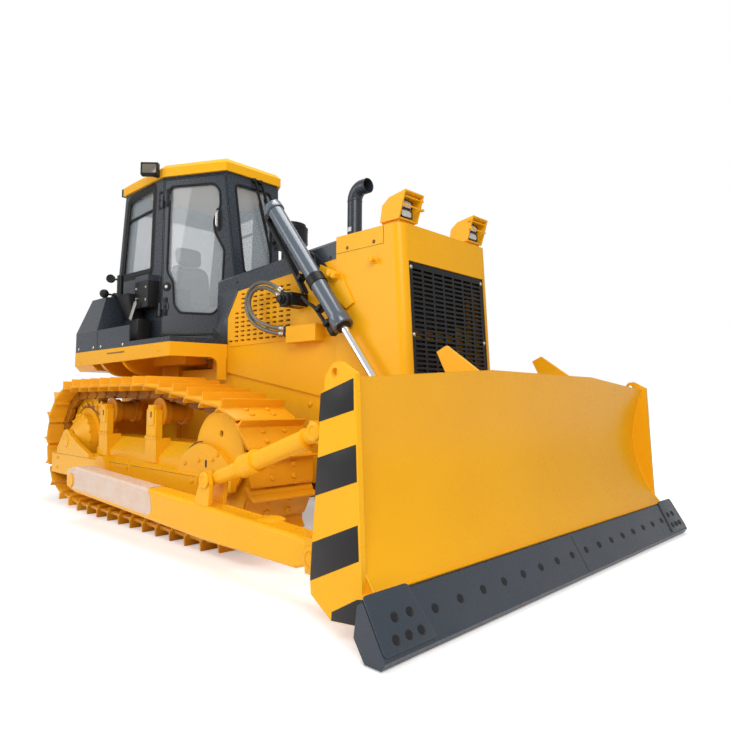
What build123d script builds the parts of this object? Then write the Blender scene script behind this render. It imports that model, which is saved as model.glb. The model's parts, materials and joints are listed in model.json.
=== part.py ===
from build123d import *
from math import asin, atan2, cos, hypot, pi, radians, sin, tan
import os

os.makedirs("parts", exist_ok=True)

# Frame: +X forward, +Y to the machine's left, +Z up, ground at Z = 0.
SIDES = (("right", -1), ("left", 1))

# Running gear
TRACK_GAUGE = 1880
SHOE_WIDTH = 510
SHOE_COUNT = 37
GROUSER_HEIGHT = 60
SHOE_ABOVE_PIN = 62
LINK_ABOVE_PIN = 40
RAIL_BELOW_PIN = 50
RAIL_THICKNESS = 45
RAIL_SPACING = 170
SPROCKET_X = -1865
SPROCKET_Z = 600
SPROCKET_PITCH_RADIUS = 440
SPROCKET_TEETH = 27
SPROCKET_THICKNESS = 90
IDLER_X = 580
IDLER_PITCH_RADIUS = 385
ROLLER_RADIUS = 100
ROLLER_COUNT = 6
ROLLER_FIRST_X = 150
ROLLER_LAST_X = -1360
CARRIER_RADIUS = 108
CARRIER_XS = (-1205, -355)
RUN_CLEARANCE = 0.3

TRACK_Y = TRACK_GAUGE / 2
PIN_TO_TIP = SHOE_ABOVE_PIN + GROUSER_HEIGHT
RAIL_Z = PIN_TO_TIP + RAIL_BELOW_PIN
IDLER_Z = PIN_TO_TIP + IDLER_PITCH_RADIUS
ROLLER_Z = RAIL_Z + ROLLER_RADIUS
# Carriers hold the upper run just above the sprocket's top
UPPER_RUN_RISE = 3
CARRIER_Z = SPROCKET_Z + SPROCKET_PITCH_RADIUS + UPPER_RUN_RISE - CARRIER_RADIUS - RAIL_BELOW_PIN
TRACK_OUTER_Y = TRACK_Y + SHOE_WIDTH / 2
SIDE_GUARD_Y = TRACK_OUTER_Y - 5
PEDESTAL_IN_Y = SIDE_GUARD_Y - 38
POST_IN_Y = TRACK_Y + 126
POST_OUT_Y = TRACK_Y + 180
RAIL_GAP = RAIL_SPACING - RAIL_THICKNESS

# Track frame
BEAM_WIDTH = 320
BEAM_LOW_Z = 400
BEAM_TOP_Z = 668
BEAM_SHOULDER = (100, 112)
GUARD_THICKNESS = 25
GUARD_TOP_Z = 472
GUARD_LOW_Z = 190
SIDE_GUARD_LOW_Z = 292
SIDE_GUARD_REAR_X = -2197
SIDE_GUARD_FRONT_X = 420
CARRIER_POST_XS = (-1228, -371)

# Main frame
GUARD_BASE_Z = 985
GROUND_CLEARANCE = 400
CASE_HALF_WIDTH = 560
CASE_REAR_X = -2250
CASE_FRONT_X = -1100
CASE_TOP_Z = 1290
FRAME_HALF_WIDTH = 460
FRAME_FRONT_X = 1500
FRAME_TOP_Z = GUARD_BASE_Z
ENGINE_SEAT_Z = 780

# Hood and radiator guard
GUARD_HALF_WIDTH = 492
GUARD_FRONT_X = 1656
GUARD_FRONT_LEAN = 0.064
GUARD_REAR_X = 1005
GUARD_ROOF_Z = 2112
GUARD_WALL = 40
GRILLE_HALF_WIDTH = 422
GRILLE_LOW_Z = 1120
GRILLE_TOP_Z = 1871
HOOD_HALF_WIDTH = 477
HOOD_REAR_X = -556
HOOD_SIDE_LOW_Z = 1855
HOOD_WALL = 25
ENGINE_PANEL_LOW_Z = 1250

# Platform and boxes
FLOOR_Z = 1560
PLATFORM_HALF_WIDTH = 950
PLATFORM_REAR_X = -2352
PLATFORM_FRONT_X = -435
FENDER_LOW_Z = 1307
FENDER_TOP_Z = 1418
RIM_TOP_Z = 1491
SIDE_PANEL_FRONT_X = -1160
SIDE_PANEL_TOP_Z = 1639
RIM_THICKNESS = 12

# Cab
CAB_HALF_WIDTH = 602
CAB_REAR_X = -2058
CAB_STEP_Z = 1960
CAB_BULGE = (-2210, 2050)
CAB_REAR_TOP_X = -2060
CAB_KINK_X = -1268
CAB_TOP_Z = 3080
CAB_WALL = 60
DOOR_ANGLE = 27.5
DOOR_THICKNESS = 45
DOOR_GAP = 7
DOOR_LOW_Z = 1575
DOOR_TOP_Z = 3060
DOOR_TOP_WIDTH = 652
DOOR_MID_WIDTH = 770
DOOR_LOW_WIDTH = 680
DOOR_MID_Z = 2099
DOOR_CLEARANCE = 6
HINGE_OUT = 16
HINGE_BACK = 2
DOOR_DIR = (cos(radians(DOOR_ANGLE)), sin(radians(DOOR_ANGLE)))
HINGE_X = CAB_KINK_X + HINGE_OUT * DOOR_DIR[1] - HINGE_BACK * DOOR_DIR[0]
HINGE_Y = CAB_HALF_WIDTH + HINGE_OUT * DOOR_DIR[0] + HINGE_BACK * DOOR_DIR[1]
# What the open door's front edge sweeps round its hinge
DOOR_SWEEP = hypot(DOOR_MID_WIDTH + HINGE_BACK, DOOR_THICKNESS + HINGE_OUT) + DOOR_CLEARANCE
WINDSHIELD_TOP_X = -682
WINDSHIELD_LEAN = 0.108
ROOF_THICKNESS = 125
GLASS_THICKNESS = 8

# Blade and push arms
BLADE_WIDTH = 3388
BLADE_TOP_Z = 1146
BLADE_END_TOP_Z = 1077
MOLDBOARD_THICKNESS = 30
MOLDBOARD_FOOT = (2418, 214)
MOLDBOARD_DEEP = (2215, 690)
MOLDBOARD_TOP = (2318, BLADE_TOP_Z)
EDGE_THICKNESS = 32
EDGE_HEEL = (2542.3, 8)
END_BIT_OVERHANG = 82
END_PLATE_Y = BLADE_WIDTH / 2 - END_BIT_OVERHANG
END_PLATE_THICKNESS = 28
TRUNNION_X = -1020
TRUNNION_Z = 340
ARM_OUTER_Y = 1450
ARM_WIDTH = 150
TRUNNION_PIN_RADIUS = 55
PIN_CLEARANCE = 0.5

# Lift cylinders
EAR_THICKNESS = 18
EAR_CLEARANCE = 6
YOKE_X = 910
YOKE_Z = 1795
ROD_PIN_X = 1900
ROD_PIN_Z = 560
BARREL_RADIUS = 60
BORE_RADIUS = 47
BARREL_TAIL = 828
BARREL_NOSE = 415
ROD_RADIUS = 28
ROD_LENGTH = 1640
ROD_PIN_RADIUS = 30
TRUNNION_STUB_RADIUS = 32
CYLINDER_Y = GUARD_HALF_WIDTH + EAR_THICKNESS + EAR_CLEARANCE + BARREL_RADIUS


def side_plane(y):
    """Vertical plane across the machine at y, local axes X and Z."""
    return Plane.XZ.offset(-y)


def belt_corners(circles):
    """Arcs of a belt run clockwise round the circles, as (x, z, r, start, end) in radians."""
    normals = []
    for (x1, z1, r1), (x2, z2, r2) in zip(circles, circles[1:] + circles[:1]):
        run = hypot(x2 - x1, z2 - z1)
        normals.append(atan2(z2 - z1, x2 - x1) + pi / 2 - asin((r1 - r2) / run))
    arcs = []
    for index, (x, z, r) in enumerate(circles):
        start = normals[index - 1]
        turn = (start - normals[index]) % (2 * pi)
        arcs.append((x, z, r, start, start - turn))
    return arcs


def belt_points(circles, count):
    """Evenly spaced points round the belt."""
    arcs = belt_corners(circles)
    pieces = []
    for index, (x, z, r, start, end) in enumerate(arcs):
        nx, nz, nr, nstart, _ = arcs[(index + 1) % len(arcs)]
        leave = (x + r * cos(end), z + r * sin(end))
        meet = (nx + nr * cos(nstart), nz + nr * sin(nstart))
        pieces.append(("arc", r * (start - end), (x, z, r, start)))
        pieces.append(("line", hypot(meet[0] - leave[0], meet[1] - leave[1]), (leave, meet)))
    step = sum(length for _, length, _ in pieces) / count
    points = []
    for index in range(count):
        distance = index * step
        for kind, length, data in pieces:
            if distance <= length:
                break
            distance -= length
        if kind == "arc":
            x, z, r, start = data
            angle = start - distance / r
            points.append((x + r * cos(angle), z + r * sin(angle)))
        else:
            (x1, z1), (x2, z2) = data
            share = distance / length
            points.append((x1 + (x2 - x1) * share, z1 + (z2 - z1) * share))
    return points


def offset_ring(points, height):
    """The pin polygon moved outward by height at each pin."""
    ring = []
    for index, (x, z) in enumerate(points):
        x0, z0 = points[index - 1]
        x2, z2 = points[(index + 1) % len(points)]
        before = atan2(z - z0, x - x0)
        after = atan2(z2 - z, x2 - x)
        half = ((before - after + pi) % (2 * pi) - pi) / 2
        out = after + half + pi / 2
        reach = height / cos(half)
        ring.append((x + reach * cos(out), z + reach * sin(out)))
    return ring


# One shoe's outline along its link: share of the pitch, height over the pin line
SHOE_OUTLINE = (
    (0.02, SHOE_ABOVE_PIN),
    (0.10, SHOE_ABOVE_PIN),
    (0.12, PIN_TO_TIP),
    (0.17, PIN_TO_TIP),
    (0.21, SHOE_ABOVE_PIN),
    (0.98, SHOE_ABOVE_PIN),
)
BEND_OFFSET = 150
BELT_CIRCLES = [
    (SPROCKET_X, SPROCKET_Z, SPROCKET_PITCH_RADIUS),
    (CARRIER_XS[0], CARRIER_Z, CARRIER_RADIUS + RAIL_BELOW_PIN),
    (CARRIER_XS[1], CARRIER_Z, CARRIER_RADIUS + RAIL_BELOW_PIN),
    (IDLER_X, IDLER_Z, IDLER_PITCH_RADIUS),
    (ROLLER_FIRST_X, ROLLER_Z, ROLLER_RADIUS + RAIL_BELOW_PIN),
    (ROLLER_LAST_X - BEND_OFFSET, ROLLER_Z, ROLLER_RADIUS + RAIL_BELOW_PIN),
]
PINS = belt_points(BELT_CIRCLES, SHOE_COUNT)
PITCH = hypot(PINS[1][0] - PINS[0][0], PINS[1][1] - PINS[0][1])
LINK_OUTER = offset_ring(PINS, LINK_ABOVE_PIN)
LINK_INNER = offset_ring(PINS, -RAIL_BELOW_PIN)
SHOE_JOINTS = offset_ring(PINS, SHOE_ABOVE_PIN - 9)
TREAD_DIP = 1 - cos(asin(PITCH / 2 / IDLER_PITCH_RADIUS))


def shoe_ring():
    """Outer outline of the whole track, shoe by shoe."""
    ring = []
    for index, (x, z) in enumerate(PINS):
        x2, z2 = PINS[(index + 1) % SHOE_COUNT]
        length = hypot(x2 - x, z2 - z)
        tx, tz = (x2 - x) / length, (z2 - z) / length
        ring.append(SHOE_JOINTS[index])
        for share, height in SHOE_OUTLINE:
            ring.append((x + tx * length * share - tz * height, z + tz * length * share + tx * height))
    return ring


# Tracks
SHOE_RING = shoe_ring()
for side, y_sign in SIDES:
    with BuildPart() as track:
        with BuildSketch(side_plane(y_sign * TRACK_Y)):
            with BuildLine():
                Polyline(*SHOE_RING, close=True)
            make_face()
            with BuildLine():
                Polyline(*LINK_OUTER, close=True)
            make_face(mode=Mode.SUBTRACT)
        extrude(amount=SHOE_WIDTH / 2, both=True)
        for rail_y in (-RAIL_SPACING / 2, RAIL_SPACING / 2):
            with BuildSketch(side_plane(y_sign * TRACK_Y + rail_y)):
                with BuildLine():
                    Polyline(*LINK_OUTER, close=True)
                make_face()
                with BuildLine():
                    Polyline(*LINK_INNER, close=True)
                make_face(mode=Mode.SUBTRACT)
            extrude(amount=RAIL_THICKNESS / 2, both=True)
    track.part.label = f"track_{side}"
    export_step(track.part, f"parts/track_{side}.step")

# Sprockets: toothed ring between the two link rails
TOOTH_ROOT = SPROCKET_PITCH_RADIUS - 38
TOOTH_TIP = SPROCKET_PITCH_RADIUS + 12
# Tooth outline: share of the tooth's angle, radius
TOOTH_OUTLINE = ((-0.32, TOOTH_ROOT), (-0.12, TOOTH_TIP), (0.12, TOOTH_TIP), (0.32, TOOTH_ROOT))
TOOTH_TURN = 2 * pi / SPROCKET_TEETH
TOOTH_RING = [
    (
        SPROCKET_X + radius * cos((tooth + share) * TOOTH_TURN),
        SPROCKET_Z + radius * sin((tooth + share) * TOOTH_TURN),
    )
    for tooth in range(SPROCKET_TEETH)
    for share, radius in TOOTH_OUTLINE
]
HUB_RADIUS = 300
with BuildPart() as sprockets:
    for side, y_sign in SIDES:
        with BuildSketch(side_plane(y_sign * TRACK_Y)):
            with BuildLine():
                Polyline(*TOOTH_RING, close=True)
            make_face()
            with Locations((SPROCKET_X, SPROCKET_Z)):
                Circle(HUB_RADIUS, mode=Mode.SUBTRACT)
        extrude(amount=SPROCKET_THICKNESS / 2, both=True)
sprockets.part.label = "sprockets"
export_step(sprockets.part, "parts/sprockets.step")

# Final drives: round cases from the main frame to the outer hub cone.
# Columns: radius, start and end distance from the machine's middle
HUB_SHAFT_RADIUS = 60
HUB_CONE = ((229, TRACK_Y + 120), (160, TRACK_Y + 168), (108, PEDESTAL_IN_Y - 6))
FINAL_DRIVE_STEPS = (
    (345, CASE_HALF_WIDTH, TRACK_Y - 60),
    (HUB_RADIUS, TRACK_Y - 60, TRACK_Y + 60),
    (245, TRACK_Y + 60, TRACK_Y + 120),
    (HUB_SHAFT_RADIUS, PEDESTAL_IN_Y - 6, SIDE_GUARD_Y),
)
with BuildPart() as final_drives:
    for side, y_sign in SIDES:
        for radius, start, end in FINAL_DRIVE_STEPS:
            with BuildSketch(side_plane(y_sign * (start + end) / 2)):
                with Locations((SPROCKET_X, SPROCKET_Z)):
                    Circle(radius)
            extrude(amount=(end - start) / 2, both=True)
        for (radius, start), (end_radius, end) in zip(HUB_CONE, HUB_CONE[1:]):
            with BuildSketch(side_plane(y_sign * start)):
                with Locations((SPROCKET_X, SPROCKET_Z)):
                    Circle(radius)
            with BuildSketch(side_plane(y_sign * end)):
                with Locations((SPROCKET_X, SPROCKET_Z)):
                    Circle(end_radius)
            loft()
final_drives.part.label = "final_drives"
export_step(final_drives.part, "parts/final_drives.step")

# Idlers. Columns: radius, half width
YOKE_PLATE_IN = 150
YOKE_PLATE_OUT = 170
IDLER_TREAD = (IDLER_PITCH_RADIUS - RAIL_BELOW_PIN) * (1 - TREAD_DIP) - 4
IDLER_STEPS = ((IDLER_TREAD, 106), (IDLER_TREAD + 30, 48), (120, YOKE_PLATE_IN))
with BuildPart() as idlers:
    for side, y_sign in SIDES:
        for radius, half_width in IDLER_STEPS:
            with BuildSketch(side_plane(y_sign * TRACK_Y)):
                with Locations((IDLER_X, IDLER_Z)):
                    Circle(radius)
            extrude(amount=half_width, both=True)
idlers.part.label = "idlers"
export_step(idlers.part, "parts/idlers.step")

# Track rollers. Columns: radius, near and far distance from the roller's middle
TREAD_RADIUS = ROLLER_RADIUS - RUN_CLEARANCE
ROLLER_STEPS = (
    (TREAD_RADIUS + 18, 0, RAIL_GAP / 2 - 6),
    (TREAD_RADIUS, RAIL_GAP / 2 - 6, RAIL_GAP / 2 + RAIL_THICKNESS + 4),
    (TREAD_RADIUS + 16, RAIL_GAP / 2 + RAIL_THICKNESS + 4, RAIL_GAP / 2 + RAIL_THICKNESS + 18),
    (45, RAIL_GAP / 2 + RAIL_THICKNESS + 18, BEAM_WIDTH / 2 - GUARD_THICKNESS),
)
ROLLER_XS = [
    ROLLER_FIRST_X + (ROLLER_LAST_X - ROLLER_FIRST_X) * index / (ROLLER_COUNT - 1)
    for index in range(ROLLER_COUNT)
]
with BuildPart() as track_rollers:
    for side, y_sign in SIDES:
        for x in ROLLER_XS:
            for radius, near, far in ROLLER_STEPS:
                for half in (-1, 1):
                    with BuildSketch(side_plane(y_sign * TRACK_Y + half * (near + far) / 2)):
                        with Locations((x, ROLLER_Z)):
                            Circle(radius)
                    extrude(amount=(far - near) / 2, both=True)
track_rollers.part.label = "track_rollers"
export_step(track_rollers.part, "parts/track_rollers.step")

# Carrier rollers. Columns: radius, near and far distance from the track's middle
CARRIER_TREAD = CARRIER_RADIUS - 10
CARRIER_STEPS = (
    (CARRIER_TREAD - 20, -110, -62),
    (CARRIER_TREAD, -110, -62),
    (CARRIER_TREAD - 18, -62, 62),
    (CARRIER_TREAD, 62, 110),
    (CARRIER_TREAD + 14, 110, 124),
    (62, 124, POST_IN_Y - TRACK_Y),
)
with BuildPart() as carrier_rollers:
    for side, y_sign in SIDES:
        for x in CARRIER_XS:
            for radius, near, far in CARRIER_STEPS:
                with BuildSketch(side_plane(y_sign * (TRACK_Y + (near + far) / 2))):
                    with Locations((x, CARRIER_Z)):
                        Circle(radius)
                extrude(amount=(far - near) / 2, both=True)
carrier_rollers.part.label = "carrier_rollers"
export_step(carrier_rollers.part, "parts/carrier_rollers.step")

# Track frames: beam over the rollers, guards, carrier posts, idler housing and trunnion
BEAM_REAR_X = SPROCKET_X + SPROCKET_PITCH_RADIUS + 30
ROLLER_GUARD_REAR_X = BEAM_REAR_X - 100
BEAM_FRONT_X = IDLER_X - IDLER_PITCH_RADIUS + 15
BEAM_OUT_Y = TRACK_Y + BEAM_WIDTH / 2
# Outlines across the track frame: distance from the machine's middle, height
BEAM_SECTION = (
    (TRACK_Y - BEAM_WIDTH / 2, BEAM_LOW_Z),
    (BEAM_OUT_Y, BEAM_LOW_Z),
    (BEAM_OUT_Y, BEAM_TOP_Z - BEAM_SHOULDER[1]),
    (BEAM_OUT_Y - BEAM_SHOULDER[0], BEAM_TOP_Z),
    (TRACK_Y - BEAM_WIDTH / 2, BEAM_TOP_Z),
)
SIDE_GUARD_SECTION = (
    (BEAM_OUT_Y, GUARD_TOP_Z + 37),
    (SIDE_GUARD_Y, GUARD_TOP_Z),
    (SIDE_GUARD_Y, SIDE_GUARD_LOW_Z),
    (SIDE_GUARD_Y - GUARD_THICKNESS, SIDE_GUARD_LOW_Z),
    (SIDE_GUARD_Y - GUARD_THICKNESS, GUARD_TOP_Z - 22),
    (BEAM_OUT_Y, GUARD_TOP_Z + 5),
)
# Rear end of each roller guard: the inner one stops at the final drive's case
ROLLER_GUARDS = (
    (-1, ((ROLLER_GUARD_REAR_X, GUARD_TOP_Z - 20), (ROLLER_GUARD_REAR_X, GUARD_LOW_Z + 90))),
    (1, ((-2100, GUARD_TOP_Z - 100), (-2100, SIDE_GUARD_LOW_Z), (-1960, GUARD_LOW_Z))),
)
# Bearing plate outside the sprocket: corners round its rounded top
PEDESTAL_RADIUS = 103
PEDESTAL_OUTLINE = (
    (-2077, 440),
    (-2077, 525),
    (SPROCKET_X - 76, SPROCKET_Z + 69),
    (SPROCKET_X + 76, SPROCKET_Z + 69),
    (-1616, 594),
    (-1342, 504),
    (-1342, 440),
)
HUB_ROOM = ((245, TRACK_Y + 110, TRACK_Y + 170), (185, TRACK_Y + 170, PEDESTAL_IN_Y))
# Round side plate of the idler with its lifting hole, and the housing over the idler's bearing
IDLER_PLATE = (556, 629, 281)
IDLER_PLATE_HOLE = (580, 761, 22)
HOUSING_ENDS = ((90, 528), (760, 528))
HOUSING_TOP = (450, 686)
HOUSING_Y = (TRACK_Y + YOKE_PLATE_OUT, TRACK_Y + 210)
# Carrier posts: length, inner and outer distance from the machine's middle, low z, high z
POST_BLOCKS = (
    (170, TRACK_Y + 60, POST_OUT_Y, 505, 690),
    (150, POST_IN_Y, POST_OUT_Y, 680, 905),
    (104, POST_IN_Y, POST_OUT_Y, 900, 942),
)
for side, y_sign in SIDES:
    with BuildPart() as track_frame:
        for section, start_x, end_x in (
            (BEAM_SECTION, BEAM_REAR_X, BEAM_FRONT_X),
            (SIDE_GUARD_SECTION, SIDE_GUARD_REAR_X, SIDE_GUARD_FRONT_X),
        ):
            with BuildSketch(Plane.YZ.offset(start_x)):
                with BuildLine():
                    Polyline(*[(y_sign * y, z) for y, z in section], close=True)
                make_face()
            extrude(amount=end_x - start_x)
        # Roller guards on both sides of the rollers
        for half, rear_points in ROLLER_GUARDS:
            guard_y = y_sign * (TRACK_Y + half * (BEAM_WIDTH - GUARD_THICKNESS) / 2)
            with BuildSketch(side_plane(guard_y)):
                with BuildLine():
                    Polyline(
                        *rear_points,
                        (ROLLER_LAST_X, GUARD_LOW_Z),
                        (ROLLER_FIRST_X, GUARD_LOW_Z),
                        (BEAM_FRONT_X + 60, GUARD_LOW_Z + 90),
                        (BEAM_FRONT_X + 60, GUARD_TOP_Z + 30),
                        (BEAM_REAR_X, GUARD_TOP_Z + 30),
                        close=True,
                    )
                make_face()
            extrude(amount=GUARD_THICKNESS / 2, both=True)
        # Idler plates on both sides
        for half in (-1, 1):
            with BuildSketch(side_plane(y_sign * TRACK_Y + half * (YOKE_PLATE_IN + YOKE_PLATE_OUT) / 2)):
                plate_x, plate_z, plate_radius = IDLER_PLATE
                with Locations((plate_x, plate_z)):
                    Circle(plate_radius)
                with BuildLine():
                    Polyline(
                        (BEAM_FRONT_X - 160, BEAM_LOW_Z + 20),
                        (IDLER_X + 120, BEAM_LOW_Z + 20),
                        (IDLER_X, IDLER_Z + 100),
                        (BEAM_FRONT_X - 160, IDLER_Z + 60),
                        close=True,
                    )
                make_face()
                hole_x, hole_z, hole_radius = IDLER_PLATE_HOLE
                with Locations((hole_x, hole_z)):
                    Circle(hole_radius, mode=Mode.SUBTRACT)
            extrude(amount=(YOKE_PLATE_OUT - YOKE_PLATE_IN) / 2, both=True)
        # Housing over the idler's bearing
        with BuildSketch(side_plane(y_sign * (HOUSING_Y[0] + HOUSING_Y[1]) / 2)):
            with BuildLine():
                ThreePointArc(HOUSING_ENDS[0], HOUSING_TOP, HOUSING_ENDS[1])
                Polyline(
                    HOUSING_ENDS[1],
                    (HOUSING_ENDS[1][0], BEAM_LOW_Z),
                    (HOUSING_ENDS[0][0], BEAM_LOW_Z),
                    HOUSING_ENDS[0],
                )
            make_face()
        extrude(amount=(HOUSING_Y[1] - HOUSING_Y[0]) / 2, both=True)
        # Carrier posts
        for x in CARRIER_POST_XS:
            for length, in_y, out_y, low_z, high_z in POST_BLOCKS:
                with Locations((x, y_sign * (in_y + out_y) / 2, (low_z + high_z) / 2)):
                    Box(length, out_y - in_y, high_z - low_z)
        # Room for the hub cone, then the bearing plate round its shaft
        for radius, start, end in HUB_ROOM:
            with BuildSketch(side_plane(y_sign * (start + end) / 2)):
                with Locations((SPROCKET_X, SPROCKET_Z)):
                    Circle(radius)
            extrude(amount=(end - start) / 2, both=True, mode=Mode.SUBTRACT)
        with BuildSketch(side_plane(y_sign * (PEDESTAL_IN_Y + SIDE_GUARD_Y) / 2)):
            with BuildLine():
                Polyline(*PEDESTAL_OUTLINE, close=True)
            make_face()
            with Locations((SPROCKET_X, SPROCKET_Z)):
                Circle(PEDESTAL_RADIUS)
                Circle(HUB_SHAFT_RADIUS + PIN_CLEARANCE, mode=Mode.SUBTRACT)
        extrude(amount=(SIDE_GUARD_Y - PEDESTAL_IN_Y) / 2, both=True)
        # Push arm trunnion
        with BuildSketch(side_plane(y_sign * BEAM_OUT_Y)):
            with Locations((TRUNNION_X, TRUNNION_Z + 70)):
                Circle(110)
        extrude(amount=-y_sign * (TRACK_OUTER_Y + 35 - BEAM_OUT_Y))
        with BuildSketch(side_plane(y_sign * (TRACK_OUTER_Y + 35))):
            with Locations((TRUNNION_X, TRUNNION_Z)):
                Circle(TRUNNION_PIN_RADIUS)
        extrude(amount=-y_sign * (ARM_OUTER_Y - TRACK_OUTER_Y - 35 + 12))
        # Cut room for the idler in the beam's nose
        with BuildSketch(side_plane(y_sign * TRACK_Y)):
            with Locations((IDLER_X, IDLER_Z)):
                Circle(IDLER_PITCH_RADIUS - RAIL_BELOW_PIN + 60)
        extrude(amount=YOKE_PLATE_IN - 4, both=True, mode=Mode.SUBTRACT)
    track_frame.part.label = f"track_frame_{side}"
    export_step(track_frame.part, f"parts/track_frame_{side}.step")

# Main frame: rear case, engine frame, cross bar and belly plate
CROSS_BAR_X = -150
CROSS_BAR_Z = 580
ENGINE_REAR_X = -430
ENGINE_LENGTH = 1200
ENGINE_WIDTH = 540
ENGINE_HEIGHT = 1000
ENGINE_ROOM = 20
with BuildPart() as main_frame:
    with BuildSketch(side_plane(0)):
        with BuildLine():
            Polyline(
                (CASE_REAR_X, GROUND_CLEARANCE + 190),
                (CASE_REAR_X + 160, GROUND_CLEARANCE + 20),
                (CASE_FRONT_X, GROUND_CLEARANCE),
                (CASE_FRONT_X, CASE_TOP_Z),
                (CASE_REAR_X, CASE_TOP_Z),
                close=True,
            )
        make_face()
    extrude(amount=CASE_HALF_WIDTH - 60, both=True)
    with BuildSketch(side_plane(0)):
        with BuildLine():
            Polyline(
                (CASE_FRONT_X, GROUND_CLEARANCE),
                (FRAME_FRONT_X - 320, GROUND_CLEARANCE),
                (FRAME_FRONT_X, GROUND_CLEARANCE + 230),
                (FRAME_FRONT_X, FRAME_TOP_Z),
                (GUARD_REAR_X, FRAME_TOP_Z),
                (HOOD_REAR_X, ENGINE_PANEL_LOW_Z),
                (CASE_FRONT_X, ENGINE_PANEL_LOW_Z),
                close=True,
            )
        make_face()
    extrude(amount=FRAME_HALF_WIDTH, both=True)
    # Well for the engine
    with Locations((ENGINE_REAR_X, 0, ENGINE_SEAT_Z)):
        Box(
            ENGINE_LENGTH + 2 * ENGINE_ROOM,
            ENGINE_WIDTH + 2 * ENGINE_ROOM,
            ENGINE_HEIGHT,
            align=(Align.MIN, Align.CENTER, Align.MIN),
            mode=Mode.SUBTRACT,
        )
    for side, y_sign in SIDES:
        with BuildSketch(side_plane(y_sign * (CASE_HALF_WIDTH - 30))):
            with Locations((SPROCKET_X, SPROCKET_Z)):
                Circle(380)
        extrude(amount=30, both=True)
    with Locations((CROSS_BAR_X, 0, CROSS_BAR_Z)):
        Box(190, 2 * (TRACK_Y - BEAM_WIDTH / 2), 150)
    with Locations((TRUNNION_X, 0, CROSS_BAR_Z - 20)):
        Box(230, 2 * (TRACK_Y - BEAM_WIDTH / 2), 130)
main_frame.part.label = "main_frame"
export_step(main_frame.part, "parts/main_frame.step")

# Engine as one plain block
with BuildPart() as engine_block:
    with Locations((ENGINE_REAR_X + ENGINE_ROOM, 0, ENGINE_SEAT_Z)):
        Box(ENGINE_LENGTH, ENGINE_WIDTH, ENGINE_HEIGHT, align=(Align.MIN, Align.CENTER, Align.MIN))
engine_block.part.label = "engine_block"
export_step(engine_block.part, "parts/engine_block.step")

# Drawbar
with BuildPart() as drawbar:
    with Locations((CASE_REAR_X, 0, GROUND_CLEARANCE + 230)):
        Box(311, 200, 70, align=(Align.MAX, Align.CENTER, Align.CENTER))
    with Locations((CASE_REAR_X - 240, 0, GROUND_CLEARANCE + 230)):
        Hole(28)
drawbar.part.label = "drawbar"
export_step(drawbar.part, "parts/drawbar.step")

# Radiator guard: hollow front housing with the grille opening
def guard_front_x(z):
    """Front face of the radiator guard at height z."""
    return GUARD_FRONT_X - GUARD_FRONT_LEAN * (z - 1000)


with BuildPart() as radiator_guard:
    with BuildSketch(side_plane(0)):
        with BuildLine():
            Polyline(
                (GUARD_REAR_X, GUARD_BASE_Z),
                (guard_front_x(GUARD_BASE_Z), GUARD_BASE_Z),
                (guard_front_x(GUARD_ROOF_Z), GUARD_ROOF_Z),
                (GUARD_REAR_X, GUARD_ROOF_Z),
                close=True,
            )
        make_face()
    extrude(amount=GUARD_HALF_WIDTH, both=True)
    corner_edges = [
        edge
        for edge in radiator_guard.edges()
        if edge.center().X > GUARD_FRONT_X - 100 and abs(edge.center().Y) > GUARD_HALF_WIDTH - 5
    ]
    fillet([edge for edge in corner_edges if edge.length > 500], radius=70)
    with BuildSketch(side_plane(0)):
        with BuildLine():
            Polyline(
                (GUARD_REAR_X, GUARD_BASE_Z),
                (guard_front_x(GUARD_BASE_Z) - GUARD_WALL, GUARD_BASE_Z),
                (guard_front_x(GUARD_ROOF_Z) - GUARD_WALL, GUARD_ROOF_Z - GUARD_WALL),
                (GUARD_REAR_X, GUARD_ROOF_Z - GUARD_WALL),
                close=True,
            )
        make_face()
    extrude(amount=GUARD_HALF_WIDTH - GUARD_WALL, both=True, mode=Mode.SUBTRACT)
    with Locations((GUARD_FRONT_X, 0, (GRILLE_LOW_Z + GRILLE_TOP_Z) / 2)):
        Box(400, 2 * GRILLE_HALF_WIDTH, GRILLE_TOP_Z - GRILLE_LOW_Z, mode=Mode.SUBTRACT)
radiator_guard.part.label = "radiator_guard"
export_step(radiator_guard.part, "parts/radiator_guard.step")

# Grille: slotted plate let into the guard's opening
GRILLE_COLUMNS = 7
GRILLE_ROWS = 22
GRILLE_THICKNESS = 20
GRILLE_MARGIN = 34
GRILLE_FIT = 2
GRILLE_RECESS = 8
grille_height = GRILLE_TOP_Z - GRILLE_LOW_Z - 2 * GRILLE_FIT
grille_width = 2 * GRILLE_HALF_WIDTH
slot_step_y = (grille_width - 2 * GRILLE_MARGIN) / GRILLE_COLUMNS
slot_step_z = (grille_height - 2 * GRILLE_MARGIN) / GRILLE_ROWS
GRILLE_Z = (GRILLE_LOW_Z + GRILLE_TOP_Z) / 2
grille_plane = Plane(
    origin=(guard_front_x(GRILLE_Z) - GRILLE_THICKNESS - GRILLE_RECESS, 0, GRILLE_Z),
    x_dir=(0, 1, 0),
    z_dir=(1, 0, GUARD_FRONT_LEAN),
)
with BuildPart() as grille:
    with BuildSketch(grille_plane):
        Rectangle(grille_width, grille_height)
        with GridLocations(slot_step_y, slot_step_z, GRILLE_COLUMNS, GRILLE_ROWS):
            Rectangle(slot_step_y - 16, slot_step_z * 0.52, mode=Mode.SUBTRACT)
    extrude(amount=GRILLE_THICKNESS)
grille.part.label = "grille"
export_step(grille.part, "parts/grille.step")

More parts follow.
